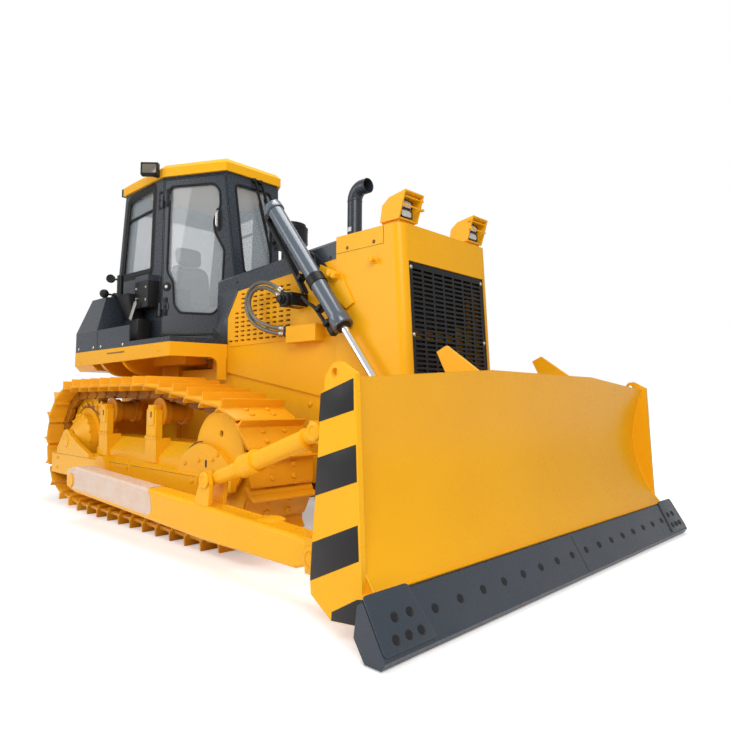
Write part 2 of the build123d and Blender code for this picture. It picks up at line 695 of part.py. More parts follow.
# Radiator core behind the grille
RADIATOR_DEPTH = 110
RADIATOR_SIDE_ROOM = 10
with BuildPart() as radiator:
    with Locations((GUARD_FRONT_X - 260, 0, GUARD_BASE_Z)):
        Box(
            RADIATOR_DEPTH,
            2 * (GRILLE_HALF_WIDTH - RADIATOR_SIDE_ROOM),
            GRILLE_TOP_Z - GUARD_BASE_Z,
            align=(Align.CENTER, Align.CENTER, Align.MIN),
        )
radiator.part.label = "radiator"
export_step(radiator.part, "parts/radiator.step")

# Hood: dark cover from the cab to the radiator guard, its roof and lower edge rising forward
HOOD_FRONT_ROOF_Z = GUARD_ROOF_Z - 4
HOOD_ROOF_RISE = 0.061
HOOD_EDGE_RISE = 0.072
HOOD_CHAMFER = 25


def hood_roof_z(x):
    """Top of the hood at x."""
    return HOOD_FRONT_ROOF_Z - HOOD_ROOF_RISE * (GUARD_REAR_X - x)


def hood_edge_z(x):
    """Lower edge of the hood's sides at x, where the engine panels begin."""
    return HOOD_SIDE_LOW_Z + HOOD_EDGE_RISE * (x - HOOD_REAR_X)


with BuildPart() as hood:
    for x in (HOOD_REAR_X, GUARD_REAR_X):
        outer = (
            (HOOD_HALF_WIDTH, hood_edge_z(x)),
            (HOOD_HALF_WIDTH, hood_roof_z(x) - HOOD_CHAMFER),
            (HOOD_HALF_WIDTH - HOOD_CHAMFER, hood_roof_z(x)),
        )
        inner = (
            (HOOD_HALF_WIDTH - HOOD_CHAMFER - HOOD_WALL / 2, hood_roof_z(x) - HOOD_WALL),
            (HOOD_HALF_WIDTH - HOOD_WALL, hood_roof_z(x) - HOOD_CHAMFER - HOOD_WALL / 2),
            (HOOD_HALF_WIDTH - HOOD_WALL, hood_edge_z(x)),
        )
        with BuildSketch(Plane.YZ.offset(x)):
            with BuildLine():
                Polyline(
                    *outer,
                    *[(-y, z) for y, z in reversed(outer)],
                    *[(-y, z) for y, z in reversed(inner)],
                    *inner,
                    close=True,
                )
            make_face()
    loft(ruled=True)
    # Rear corners cut back so that the doors swing past
    with Locations((HINGE_X, HINGE_Y, HOOD_SIDE_LOW_Z), (HINGE_X, -HINGE_Y, HOOD_SIDE_LOW_Z)):
        Cylinder(
            DOOR_SWEEP,
            2 * (GUARD_ROOF_Z - HOOD_SIDE_LOW_Z),
            mode=Mode.SUBTRACT,
        )
hood.part.label = "hood"
export_step(hood.part, "parts/hood.step")

# Engine side panels with their field of slots, which stays in front of the door's sloping edge
SLOT_SIZE = (52, 14)
SLOT_PITCH = (84, 38)
SLOT_FIRST = (-290, 1470)
SLOT_COUNT = (10, 11)
SLOT_FIELD_LEAN = 0.36
slot_places = []
for column in range(SLOT_COUNT[0]):
    for row in range(SLOT_COUNT[1]):
        slot_x = SLOT_FIRST[0] + column * SLOT_PITCH[0]
        slot_z = SLOT_FIRST[1] + row * SLOT_PITCH[1]
        if slot_x >= SLOT_FIRST[0] + SLOT_FIELD_LEAN * (slot_z - SLOT_FIRST[1]) - 5:
            slot_places.append((slot_x, slot_z))
for side, y_sign in SIDES:
    with BuildPart() as engine_panel:
        with BuildSketch(side_plane(y_sign * (HOOD_HALF_WIDTH - HOOD_WALL / 2))):
            with BuildLine():
                Polyline(
                    (HOOD_REAR_X, ENGINE_PANEL_LOW_Z),
                    (GUARD_REAR_X, FRAME_TOP_Z),
                    (GUARD_REAR_X, hood_edge_z(GUARD_REAR_X)),
                    (HOOD_REAR_X, hood_edge_z(HOOD_REAR_X)),
                    close=True,
                )
            make_face()
            with Locations(*slot_places):
                Rectangle(*SLOT_SIZE, mode=Mode.SUBTRACT)
        extrude(amount=HOOD_WALL / 2, both=True)
        with Locations((HINGE_X, y_sign * HINGE_Y, HOOD_SIDE_LOW_Z)):
            Cylinder(DOOR_SWEEP, 2 * (HOOD_SIDE_LOW_Z - DOOR_LOW_Z + DOOR_CLEARANCE), mode=Mode.SUBTRACT)
    engine_panel.part.label = f"engine_panel_{side}"
    export_step(engine_panel.part, f"parts/engine_panel_{side}.step")

# Lamp boxes on the guard's roof: bent sheet, open at the front, on a plinth
LAMP_BOX_IN = 282
LAMP_BOX_OUT = 470
LAMP_BOX_Y = (LAMP_BOX_IN + LAMP_BOX_OUT) / 2
LAMP_BOX_WALL = 10
PLINTH_TOP_Z = GUARD_ROOF_Z + 28
PLINTH_SIZE = (150, 150)
PLINTH_X = 1470
# Lamp box from the side: rear foot, rear shoulder, roof's rear, roof's front, front foot
LAMP_BOX_OUTLINE = ((1395, PLINTH_TOP_Z), (1413, 2248), (1471, 2292), (1612, 2316), (1557, PLINTH_TOP_Z))
LAMP_BOX_ROOM = (
    (1405, PLINTH_TOP_Z + LAMP_BOX_WALL),
    (1423, 2242),
    (1475, 2282),
    (1640, 2312),
    (1640, PLINTH_TOP_Z + LAMP_BOX_WALL),
)
LAMP_POST_SIZE = (18, 60, 150)
LAMP_ZS = (2191, 2253)
LAMP_SIZE = (56, 112, 54)
LAMP_BACK_X = 1484
LAMP_EDGE_RADIUS = 18
with BuildPart() as lamp_boxes:
    for side, y_sign in SIDES:
        with Locations((PLINTH_X, y_sign * LAMP_BOX_Y, GUARD_ROOF_Z)):
            Box(*PLINTH_SIZE, PLINTH_TOP_Z - GUARD_ROOF_Z, align=(Align.CENTER, Align.CENTER, Align.MIN))
        with BuildSketch(side_plane(y_sign * LAMP_BOX_Y)):
            with BuildLine():
                Polyline(*LAMP_BOX_OUTLINE, close=True)
            make_face()
        extrude(amount=(LAMP_BOX_OUT - LAMP_BOX_IN) / 2, both=True)
        with BuildSketch(side_plane(y_sign * LAMP_BOX_Y)):
            with BuildLine():
                Polyline(*LAMP_BOX_ROOM, close=True)
            make_face()
        extrude(amount=(LAMP_BOX_OUT - LAMP_BOX_IN) / 2 - LAMP_BOX_WALL, both=True, mode=Mode.SUBTRACT)
        with Locations((LAMP_BACK_X, y_sign * LAMP_BOX_Y, PLINTH_TOP_Z)):
            Box(*LAMP_POST_SIZE, align=(Align.MAX, Align.CENTER, Align.MIN))
lamp_boxes.part.label = "lamp_boxes"
export_step(lamp_boxes.part, "parts/lamp_boxes.step")

# Lamps, two over one another in each box
with BuildPart() as front_lamps:
    for side, y_sign in SIDES:
        for z in LAMP_ZS:
            with Locations((LAMP_BACK_X, y_sign * LAMP_BOX_Y, z)):
                Box(*LAMP_SIZE, align=(Align.MIN, Align.CENTER, Align.CENTER))
    front_edges = front_lamps.edges().filter_by(Axis.Y).group_by(Axis.X)[-1]
    fillet(front_edges, radius=LAMP_EDGE_RADIUS)
front_lamps.part.label = "front_lamps"
export_step(front_lamps.part, "parts/front_lamps.step")

# Exhaust pipe with its forward elbow
EXHAUST_X = 690
EXHAUST_RADIUS = 58
EXHAUST_BEND = 90
EXHAUST_RISE_Z = 2560
EXHAUST_MOUTH_X = 850
EXHAUST_COLLAR = (12, 110)
ROOF_CUT_REACH = 200
EXHAUST_BASE_Z = hood_roof_z(EXHAUST_X) - 10
with BuildPart() as exhaust_pipe:
    with BuildLine() as exhaust_path:
        Line((EXHAUST_X, 0, EXHAUST_BASE_Z), (EXHAUST_X, 0, EXHAUST_RISE_Z))
        RadiusArc(
            (EXHAUST_X, 0, EXHAUST_RISE_Z),
            (EXHAUST_X + EXHAUST_BEND, 0, EXHAUST_RISE_Z + EXHAUST_BEND),
            EXHAUST_BEND,
        )
        Line(
            (EXHAUST_X + EXHAUST_BEND, 0, EXHAUST_RISE_Z + EXHAUST_BEND),
            (EXHAUST_MOUTH_X, 0, EXHAUST_RISE_Z + EXHAUST_BEND),
        )
    with BuildSketch(Plane.XY.offset(EXHAUST_BASE_Z)):
        with Locations((EXHAUST_X, 0)):
            Circle(EXHAUST_RADIUS)
    sweep(path=exhaust_path.wires()[0])
    with BuildSketch(Plane.XY.offset(EXHAUST_BASE_Z)):
        with Locations((EXHAUST_X, 0)):
            Circle(EXHAUST_RADIUS + EXHAUST_COLLAR[0])
    extrude(amount=EXHAUST_COLLAR[1])
    with BuildSketch(side_plane(0)):
        with BuildLine():
            Polyline(
                (EXHAUST_X - ROOF_CUT_REACH, hood_roof_z(EXHAUST_X - ROOF_CUT_REACH)),
                (EXHAUST_X + ROOF_CUT_REACH, hood_roof_z(EXHAUST_X + ROOF_CUT_REACH)),
                (EXHAUST_X + ROOF_CUT_REACH, EXHAUST_BASE_Z - 100),
                (EXHAUST_X - ROOF_CUT_REACH, EXHAUST_BASE_Z - 100),
                close=True,
            )
        make_face()
    extrude(amount=ROOF_CUT_REACH, both=True, mode=Mode.SUBTRACT)
exhaust_pipe.part.label = "exhaust_pipe"
export_step(exhaust_pipe.part, "parts/exhaust_pipe.step")

# Air pre-cleaner. Columns: radius, low z, high z; the stem is cut off along the hood's roof
PRECLEANER_X = -115
PRECLEANER_LOW_Z = hood_roof_z(PRECLEANER_X) - 20
PRECLEANER_STEPS = (
    (75, PRECLEANER_LOW_Z, 2310),
    (128, 2310, 2350),
    (155, 2350, 2492),
    (138, 2492, 2522),
)
with BuildPart() as precleaner:
    for radius, low_z, high_z in PRECLEANER_STEPS:
        with BuildSketch(Plane.XY.offset(low_z)):
            with Locations((PRECLEANER_X, 0)):
                Circle(radius)
        extrude(amount=high_z - low_z)
    with BuildSketch(side_plane(0)):
        with BuildLine():
            Polyline(
                (PRECLEANER_X - ROOF_CUT_REACH, hood_roof_z(PRECLEANER_X - ROOF_CUT_REACH)),
                (PRECLEANER_X + ROOF_CUT_REACH, hood_roof_z(PRECLEANER_X + ROOF_CUT_REACH)),
                (PRECLEANER_X + ROOF_CUT_REACH, PRECLEANER_LOW_Z - 100),
                (PRECLEANER_X - ROOF_CUT_REACH, PRECLEANER_LOW_Z - 100),
                close=True,
            )
        make_face()
    extrude(amount=ROOF_CUT_REACH, both=True, mode=Mode.SUBTRACT)
precleaner.part.label = "precleaner"
export_step(precleaner.part, "parts/precleaner.step")

# Platform: floor and the curved fenders over the tracks
PLATFORM_PLATE = 30
PLATFORM_TOP_Z = FENDER_TOP_Z + PLATFORM_PLATE
HOOD_FIT = 3
FRONT_SKIRT_SWEEP = 105
PLATFORM_OUTLINE = (
    (PLATFORM_REAR_X, -PLATFORM_HALF_WIDTH),
    (PLATFORM_FRONT_X, -PLATFORM_HALF_WIDTH),
    (PLATFORM_FRONT_X + FRONT_SKIRT_SWEEP, -HOOD_HALF_WIDTH - HOOD_FIT),
    (HOOD_REAR_X - HOOD_FIT, -HOOD_HALF_WIDTH - HOOD_FIT),
    (HOOD_REAR_X - HOOD_FIT, HOOD_HALF_WIDTH + HOOD_FIT),
    (PLATFORM_FRONT_X + FRONT_SKIRT_SWEEP, HOOD_HALF_WIDTH + HOOD_FIT),
    (PLATFORM_FRONT_X, PLATFORM_HALF_WIDTH),
    (PLATFORM_REAR_X, PLATFORM_HALF_WIDTH),
)
SKIRT_RISE = 29
REAR_SKIRT_LENGTH = 420
# Outlines across the platform on the left: distance from the machine's middle, height
REAR_SKIRT_SECTION = (
    (CASE_HALF_WIDTH, FENDER_TOP_Z),
    (PLATFORM_HALF_WIDTH - 10, FENDER_TOP_Z),
    (PLATFORM_HALF_WIDTH - 2, FENDER_LOW_Z + 8),
    (PLATFORM_HALF_WIDTH - 50, 1259),
    (CASE_HALF_WIDTH, 1259),
)
FENDER_BRACKET_ARC = ((700, 1202), (840, 1232), (925, 1312))
FENDER_BRACKET_XS = (-1790, -1330)
FENDER_BRACKET_WIDTH = 50
FRONT_SKIRT_REACH = PLATFORM_HALF_WIDTH - HOOD_HALF_WIDTH - HOOD_FIT
FRONT_SKIRT_RUN = hypot(FRONT_SKIRT_SWEEP, FRONT_SKIRT_REACH)
FRONT_SKIRT_DIR = (FRONT_SKIRT_SWEEP / FRONT_SKIRT_RUN, FRONT_SKIRT_REACH / FRONT_SKIRT_RUN)
LEG_WIDTH = 77
LEG_LOW_Z = 1150
LEG_THICKNESS = 30
LEG_SHOULDER = 113
LEG_CORNER = 70
# Distances along the slanted front edge to the leg's inner and outer side
LEG_END = FRONT_SKIRT_RUN - LEG_THICKNESS * FRONT_SKIRT_DIR[0] / FRONT_SKIRT_DIR[1]
LEG_START = LEG_END - LEG_WIDTH
with BuildPart() as platform:
    with BuildSketch(Plane.XY.offset(FENDER_LOW_Z)):
        with BuildLine():
            Polyline(*PLATFORM_OUTLINE, close=True)
        make_face()
    extrude(amount=PLATFORM_TOP_Z - FENDER_LOW_Z)
    with BuildSketch(Plane.XY.offset(FENDER_LOW_Z)):
        with BuildLine():
            Polyline(*PLATFORM_OUTLINE, close=True)
        make_face()
        offset(amount=-PLATFORM_PLATE, kind=Kind.INTERSECTION, mode=Mode.REPLACE)
    extrude(amount=FENDER_TOP_Z - FENDER_LOW_Z, mode=Mode.SUBTRACT)
    # Side skirts rise forward
    with BuildSketch(side_plane(0)):
        with BuildLine():
            Polyline(
                (PLATFORM_REAR_X, FENDER_LOW_Z),
                (HOOD_REAR_X + 300, FENDER_LOW_Z + SKIRT_RISE),
                (HOOD_REAR_X + 300, FENDER_LOW_Z - 10),
                (PLATFORM_REAR_X, FENDER_LOW_Z - 10),
                close=True,
            )
        make_face()
    extrude(amount=PLATFORM_HALF_WIDTH + 10, both=True, mode=Mode.SUBTRACT)
    for side, y_sign in SIDES:
        with Locations(((PLATFORM_REAR_X + PLATFORM_FRONT_X) / 2, y_sign * CASE_HALF_WIDTH, CASE_TOP_Z)):
            Box(1400, 200, FENDER_TOP_Z - CASE_TOP_Z, align=(Align.CENTER, Align.CENTER, Align.MIN))
        # Deep rear skirt with a sloping outer end, and curved brackets under the fender
        for section, start_x, end_x in (
            (REAR_SKIRT_SECTION, PLATFORM_REAR_X, PLATFORM_REAR_X + REAR_SKIRT_LENGTH),
            (None, FENDER_BRACKET_XS[0], FENDER_BRACKET_XS[0] + FENDER_BRACKET_WIDTH),
            (None, FENDER_BRACKET_XS[1], FENDER_BRACKET_XS[1] + FENDER_BRACKET_WIDTH),
        ):
            with BuildSketch(Plane.YZ.offset(start_x)):
                with BuildLine():
                    if section:
                        Polyline(*[(y_sign * y, z) for y, z in section], close=True)
                    else:
                        foot, middle, tip = [(y_sign * y, z) for y, z in FENDER_BRACKET_ARC]
                        ThreePointArc(foot, middle, tip)
                        Polyline(
                            tip,
                            (y_sign * FENDER_BRACKET_ARC[2][0], FENDER_TOP_Z),
                            (y_sign * CASE_HALF_WIDTH, FENDER_TOP_Z),
                            (y_sign * CASE_HALF_WIDTH, FENDER_BRACKET_ARC[0][1]),
                            foot,
                        )
                make_face()
            extrude(amount=end_x - start_x)
        # Legs of the front skirt beside the hood, rounded into its lower edge
        front_plane = Plane(
            origin=(PLATFORM_FRONT_X, y_sign * PLATFORM_HALF_WIDTH, 0),
            x_dir=(FRONT_SKIRT_DIR[0], -y_sign * FRONT_SKIRT_DIR[1], 0),
            z_dir=(-y_sign * FRONT_SKIRT_DIR[1], -FRONT_SKIRT_DIR[0], 0),
        )
        with BuildSketch(front_plane):
            with BuildLine():
                Polyline(
                    (LEG_START - LEG_SHOULDER, FENDER_TOP_Z),
                    (LEG_END, FENDER_TOP_Z),
                    (LEG_END, LEG_LOW_Z),
                    (LEG_START, LEG_LOW_Z),
                    (LEG_START, FENDER_LOW_Z + SKIRT_RISE - LEG_CORNER),
                )
                ThreePointArc(
                    (LEG_START, FENDER_LOW_Z + SKIRT_RISE - LEG_CORNER),
                    (LEG_START - LEG_CORNER * 0.293, FENDER_LOW_Z + SKIRT_RISE - LEG_CORNER * 0.293),
                    (LEG_START - LEG_CORNER, FENDER_LOW_Z + SKIRT_RISE),
                )
                Polyline(
                    (LEG_START - LEG_CORNER, FENDER_LOW_Z + SKIRT_RISE),
                    (LEG_START - LEG_SHOULDER, FENDER_LOW_Z + SKIRT_RISE),
                    (LEG_START - LEG_SHOULDER, FENDER_TOP_Z),
                )
            make_face()
        extrude(amount=y_sign * LEG_THICKNESS)
platform.part.label = "platform"
export_step(platform.part, "parts/platform.step")

# Kick rims along the platform's side and slanted front edge
for side, y_sign in SIDES:
    rim_line = [
        (SIDE_PANEL_FRONT_X, y_sign * PLATFORM_HALF_WIDTH),
        (PLATFORM_FRONT_X, y_sign * PLATFORM_HALF_WIDTH),
        (PLATFORM_FRONT_X + FRONT_SKIRT_SWEEP, y_sign * (HOOD_HALF_WIDTH + HOOD_FIT)),
    ]
    rim_inner = [
        (PLATFORM_FRONT_X + FRONT_SKIRT_SWEEP - RIM_THICKNESS, y_sign * (HOOD_HALF_WIDTH + HOOD_FIT)),
        (PLATFORM_FRONT_X - RIM_THICKNESS, y_sign * (PLATFORM_HALF_WIDTH - RIM_THICKNESS)),
        (SIDE_PANEL_FRONT_X, y_sign * (PLATFORM_HALF_WIDTH - RIM_THICKNESS)),
    ]
    with BuildPart() as kick_rim:
        with BuildSketch(Plane.XY.offset(PLATFORM_TOP_Z)):
            with BuildLine():
                Polyline(*rim_line, *rim_inner, close=True)
            make_face()
        extrude(amount=RIM_TOP_Z - PLATFORM_TOP_Z)
    kick_rim.part.label = f"kick_rim_{side}"
    export_step(kick_rim.part, f"parts/kick_rim_{side}.step")

# Side boxes beside the rear of the cab, each with a low panel running forward from it
SIDE_BOX_FRONT_X = -1831
SIDE_BOX_REAR_X = PLATFORM_REAR_X + 4
SIDE_BOX_BASE_Z = PLATFORM_TOP_Z
SIDE_BOX_IN_Y = CAB_HALF_WIDTH + 20
SIDE_BOX_OUT_Y = PLATFORM_HALF_WIDTH - 2
SIDE_BOX_CREASE_Z = 1639
SIDE_BOX_TOP_Z = 1980
SIDE_BOX_SECTION = (
    (SIDE_BOX_IN_Y, SIDE_BOX_BASE_Z),
    (SIDE_BOX_OUT_Y, SIDE_BOX_BASE_Z),
    (SIDE_BOX_OUT_Y, SIDE_BOX_CREASE_Z),
    (SIDE_BOX_OUT_Y - 98, SIDE_BOX_TOP_Z),
    (SIDE_BOX_IN_Y, SIDE_BOX_TOP_Z + 20),
)
# Wedges cut off the leaning rear and front faces: x, height
SIDE_BOX_WEDGES = (
    (
        (SIDE_BOX_REAR_X - 1, SIDE_BOX_CREASE_Z),
        (-2206, SIDE_BOX_TOP_Z + 21),
        (SIDE_BOX_REAR_X - 1, SIDE_BOX_TOP_Z + 21),
    ),
    (
        (SIDE_BOX_FRONT_X + 1, SIDE_BOX_BASE_Z + 60),
        (-1888, SIDE_BOX_TOP_Z + 21),
        (SIDE_BOX_FRONT_X + 1, SIDE_BOX_TOP_Z + 21),
    ),
)
SIDE_PANEL_THICKNESS = 12
SIDE_PANEL_LAP = 40
for side, y_sign in SIDES:
    with BuildPart() as side_box:
        with BuildSketch(Plane.YZ.offset(SIDE_BOX_REAR_X)):
            with BuildLine():
                Polyline(*[(y_sign * y, z) for y, z in SIDE_BOX_SECTION], close=True)
            make_face()
        extrude(amount=SIDE_BOX_FRONT_X - SIDE_BOX_REAR_X)
        for wedge in SIDE_BOX_WEDGES:
            with BuildSketch(side_plane(y_sign * (SIDE_BOX_IN_Y + SIDE_BOX_OUT_Y) / 2)):
                with BuildLine():
                    Polyline(*wedge, close=True)
                make_face()
            extrude(amount=SIDE_BOX_OUT_Y - SIDE_BOX_IN_Y, both=True, mode=Mode.SUBTRACT)
        panel_y = y_sign * (SIDE_BOX_OUT_Y - SIDE_PANEL_THICKNESS / 2)
        with Locations((SIDE_BOX_FRONT_X - SIDE_PANEL_LAP, panel_y, SIDE_BOX_BASE_Z)):
            Box(
                SIDE_PANEL_FRONT_X - SIDE_BOX_FRONT_X + SIDE_PANEL_LAP,
                SIDE_PANEL_THICKNESS,
                SIDE_PANEL_TOP_Z - SIDE_BOX_BASE_Z,
                align=(Align.MIN, Align.CENTER, Align.MIN),
            )
    side_box.part.label = f"side_box_{side}"
    export_step(side_box.part, f"parts/side_box_{side}.step")

# Fuel tank behind the cab
with BuildPart() as fuel_tank:
    with Locations((CAB_REAR_X - 20, 0, PLATFORM_TOP_Z)):
        Box(360, 2 * SIDE_BOX_IN_Y - 16, 470, align=(Align.MAX, Align.CENTER, Align.MIN))
    fillet(fuel_tank.edges().filter_by(Axis.Z), radius=50)
fuel_tank.part.label = "fuel_tank"
export_step(fuel_tank.part, "parts/fuel_tank.step")

# Cab: six-sided shell with windows and door openings
DOOR_FRONT_REACH = 900
cab_front_y = CAB_HALF_WIDTH - DOOR_FRONT_REACH * DOOR_DIR[1]
cab_front_x = CAB_KINK_X + DOOR_FRONT_REACH * DOOR_DIR[0]


def windshield_x(z):
    """Outer face of the windshield wall at height z, sloping back below the middle height."""
    if z >= DOOR_MID_Z:
        return WINDSHIELD_TOP_X + WINDSHIELD_LEAN * (DOOR_TOP_Z - z)
    middle = WINDSHIELD_TOP_X + WINDSHIELD_LEAN * (DOOR_TOP_Z - DOOR_MID_Z)
    return middle - (DOOR_MID_Z - z) * 0.15


def cab_rear_x(z):
    """Outer face of the leaning rear wall at height z."""
    return CAB_BULGE[0] + (CAB_REAR_TOP_X - CAB_BULGE[0]) * (z - CAB_BULGE[1]) / (CAB_TOP_Z - CAB_BULGE[1])


# The shell's outline before its ends are cut: x, y on the left side
CAB_PLAN = ((CAB_BULGE[0], CAB_HALF_WIDTH), (CAB_KINK_X, CAB_HALF_WIDTH), (cab_front_x, cab_front_y))


def cab_plan_points():
    """The cab's closed plan outline."""
    left = [(x, y) for x, y in CAB_PLAN]
    right = [(x, -y) for x, y in reversed(CAB_PLAN)]
    return left + right


def cab_prism(wall, low_z, high_z):
    """Solid cab shape drawn in by wall, between two heights."""
    with BuildPart() as prism:
        with BuildSketch(Plane.XY.offset(low_z)):
            with BuildLine():
                Polyline(*cab_plan_points(), close=True)
            make_face()
            if wall:
                offset(amount=-wall, kind=Kind.INTERSECTION, mode=Mode.REPLACE)
        extrude(amount=high_z - low_z)
        with BuildSketch(side_plane(0)):
            with BuildLine():
                Polyline(
                    (windshield_x(high_z) - wall, high_z + 1),
                    (windshield_x(DOOR_MID_Z) - wall, DOOR_MID_Z),
                    (windshield_x(low_z) - wall, low_z - 1),
                    (cab_front_x + 500, low_z - 1),
                    (cab_front_x + 500, high_z + 1),
                    close=True,
                )
            make_face()
            with BuildLine():
                Polyline(
                    (CAB_BULGE[0] - 100, low_z - 1),
                    (CAB_REAR_X + wall, low_z - 1),
                    (CAB_REAR_X + wall, CAB_STEP_Z),
                    (CAB_BULGE[0] + wall, CAB_BULGE[1]),
                    (cab_rear_x(high_z + 1) + wall, high_z + 1),
                    (CAB_BULGE[0] - 100, high_z + 1),
                    close=True,
                )
            make_face()
        extrude(amount=2 * CAB_HALF_WIDTH, both=True, mode=Mode.SUBTRACT)
    return prism.part


door_plane = Plane(
    origin=(CAB_KINK_X, -CAB_HALF_WIDTH, 0),
    x_dir=(DOOR_DIR[0], DOOR_DIR[1], 0),
    z_dir=(DOOR_DIR[1], -DOOR_DIR[0], 0),
)
# Door edge: distance from the hinge edge, height
DOOR_OUTLINE = (
    (6, DOOR_LOW_Z),
    (DOOR_LOW_WIDTH, DOOR_LOW_Z),
    (DOOR_MID_WIDTH, DOOR_MID_Z),
    (DOOR_TOP_WIDTH, DOOR_TOP_Z),
    (6, DOOR_TOP_Z),
)
# Door window: distance from the hinge edge, height
DOOR_WINDOW = (
    (74, 2985),
    (535, 2975),
    (600, 2905),
    (608, 2750),
    (540, 2630),
    (556, 2518),
    (655, 2350),
    (636, 1840),
    (552, 1760),
    (205, 1785),
    (142, 1860),
    (125, 2080),
    (58, 2180),
)
# Door hinges: knuckles outside the cab's corner
HINGE_RADIUS = 13
HINGE_PIN_RADIUS = 6
HINGE_HEIGHT = 60
HINGE_GAP = 2
HINGE_LEAF = 80
HINGE_LEAF_THICKNESS = 8
HINGE_ZS = (1819, 2850)
DOOR_WINDOW_RADIUS = 40
WINDOW_RADIUS = 55
SIDE_WINDOW = ((-2105, 2225), (-1462, 2209), (-1432, 3041), (-1985, 3015))
REAR_WINDOW_Z = 2560
REAR_WINDOW_SIZE = (964, 760)
# Box of hydraulic gear on the cab's side behind the door: centre x, centre z, length, depth, height
CAB_SIDE_BOX = (-1432, 2025, 255, 113, 250)
WINDSHIELD_Z = 2560
windshield_plane = Plane(
    origin=(windshield_x(WINDSHIELD_Z) - CAB_WALL / 2, 0, WINDSHIELD_Z),
    x_dir=(0, 1, 0),
    z_dir=(1, 0, WINDSHIELD_LEAN),
)
rear_plane = Plane(
    origin=(cab_rear_x(REAR_WINDOW_Z) + CAB_WALL / 2, 0, REAR_WINDOW_Z),
    x_dir=(0, 1, 0),
    z_dir=(-1, 0, (CAB_REAR_TOP_X - CAB_BULGE[0]) / (CAB_TOP_Z - CAB_BULGE[1])),
)
with BuildSketch() as windshield_outline:
    with BuildLine():
        Polyline((-150, -425), (150, -425), (205, 425), (-205, 425), close=True)
    make_face()
    fillet(windshield_outline.vertices(), radius=WINDOW_RADIUS)
with BuildSketch() as rear_outline:
    RectangleRounded(*REAR_WINDOW_SIZE, WINDOW_RADIUS)
with BuildSketch() as side_outline:
    with BuildLine():
        Polyline(*SIDE_WINDOW, close=True)
    make_face()
    fillet(side_outline.vertices(), radius=WINDOW_RADIUS)
with BuildSketch() as door_window:
    with BuildLine():
        Polyline(*DOOR_WINDOW, close=True)
    make_face()
    fillet(door_window.vertices(), radius=DOOR_WINDOW_RADIUS)
with BuildPart() as cab_frame:
    add(cab_prism(0, PLATFORM_TOP_Z, CAB_TOP_Z))
    add(cab_prism(CAB_WALL, FLOOR_Z, CAB_TOP_Z + 1), mode=Mode.SUBTRACT)
    # Windshield and rear window
    with BuildSketch(windshield_plane):
        add(windshield_outline.sketch)
    extrude(amount=CAB_WALL, both=True, mode=Mode.SUBTRACT)
    with BuildSketch(rear_plane):
        add(rear_outline.sketch)
    extrude(amount=CAB_WALL, both=True, mode=Mode.SUBTRACT)
    # Side windows
    with BuildSketch(side_plane(0)):
        add(side_outline.sketch)
    extrude(amount=2 * CAB_HALF_WIDTH, both=True, mode=Mode.SUBTRACT)
    # Door openings
    with BuildPart(mode=Mode.PRIVATE) as opening:
        with BuildSketch(door_plane.offset(-2 * CAB_WALL)):
            with BuildLine():
                Polyline(*DOOR_OUTLINE, close=True)
            make_face()
            offset(amount=-CAB_WALL, kind=Kind.INTERSECTION, mode=Mode.REPLACE)
        extrude(amount=3 * CAB_WALL)
        with BuildSketch(door_plane.offset(-DOOR_THICKNESS - DOOR_GAP)):
            with BuildLine():
                Polyline(*DOOR_OUTLINE, close=True)
            make_face()
            offset(amount=DOOR_GAP, kind=Kind.INTERSECTION, mode=Mode.REPLACE)
        extrude(amount=3 * CAB_WALL)
    add(opening.part, mode=Mode.SUBTRACT)
    add(mirror(opening.part, about=Plane.XZ, mode=Mode.PRIVATE), mode=Mode.SUBTRACT)
    # Side boxes, and the lower halves of the door hinges with their pins
    for side, y_sign in SIDES:
        box_x, box_z, box_length, box_depth, box_height = CAB_SIDE_BOX
        with Locations((box_x, y_sign * (CAB_HALF_WIDTH + box_depth / 2), box_z)):
            Box(box_length, box_depth, box_height)
        for z in HINGE_ZS:
            with Locations((HINGE_X, y_sign * HINGE_Y, z - HINGE_GAP / 2)):
                Cylinder(HINGE_RADIUS, HINGE_HEIGHT, align=(Align.CENTER, Align.CENTER, Align.MAX))
                Cylinder(HINGE_PIN_RADIUS, HINGE_HEIGHT, align=(Align.CENTER, Align.CENTER, Align.MIN))
            with Locations((HINGE_X - HINGE_RADIUS + 3, y_sign * CAB_HALF_WIDTH, z - HINGE_GAP / 2)):
                Box(
                    HINGE_LEAF,
                    2 * HINGE_LEAF_THICKNESS,
                    HINGE_HEIGHT,
                    align=(Align.MAX, Align.CENTER, Align.MAX),
                )
cab_frame.part.label = "cab_frame"
export_step(cab_frame.part, "parts/cab_frame.step")

# Cab roof: overhanging cap with chamfered edges
ROOF_OVERHANG = 22
with BuildPart() as cab_roof:
    with BuildSketch(Plane.XY.offset(CAB_TOP_Z)):
        with BuildLine():
            roof_front_x = windshield_x(CAB_TOP_Z)
            reach = (roof_front_x - CAB_KINK_X) / DOOR_DIR[0]
            roof_front_y = CAB_HALF_WIDTH - reach * DOOR_DIR[1]
            Polyline(
                (CAB_REAR_TOP_X, CAB_HALF_WIDTH),
                (CAB_KINK_X, CAB_HALF_WIDTH),
                (roof_front_x, roof_front_y),
                (roof_front_x, -roof_front_y),
                (CAB_KINK_X, -CAB_HALF_WIDTH),
                (CAB_REAR_TOP_X, -CAB_HALF_WIDTH),
                close=True,
            )
        make_face()
        offset(amount=ROOF_OVERHANG, kind=Kind.INTERSECTION, mode=Mode.REPLACE)
    extrude(amount=ROOF_THICKNESS)
    chamfer(cab_roof.edges().group_by(Axis.Z)[-1], length=45)
cab_roof.part.label = "cab_roof"
export_step(cab_roof.part, "parts/cab_roof.step")

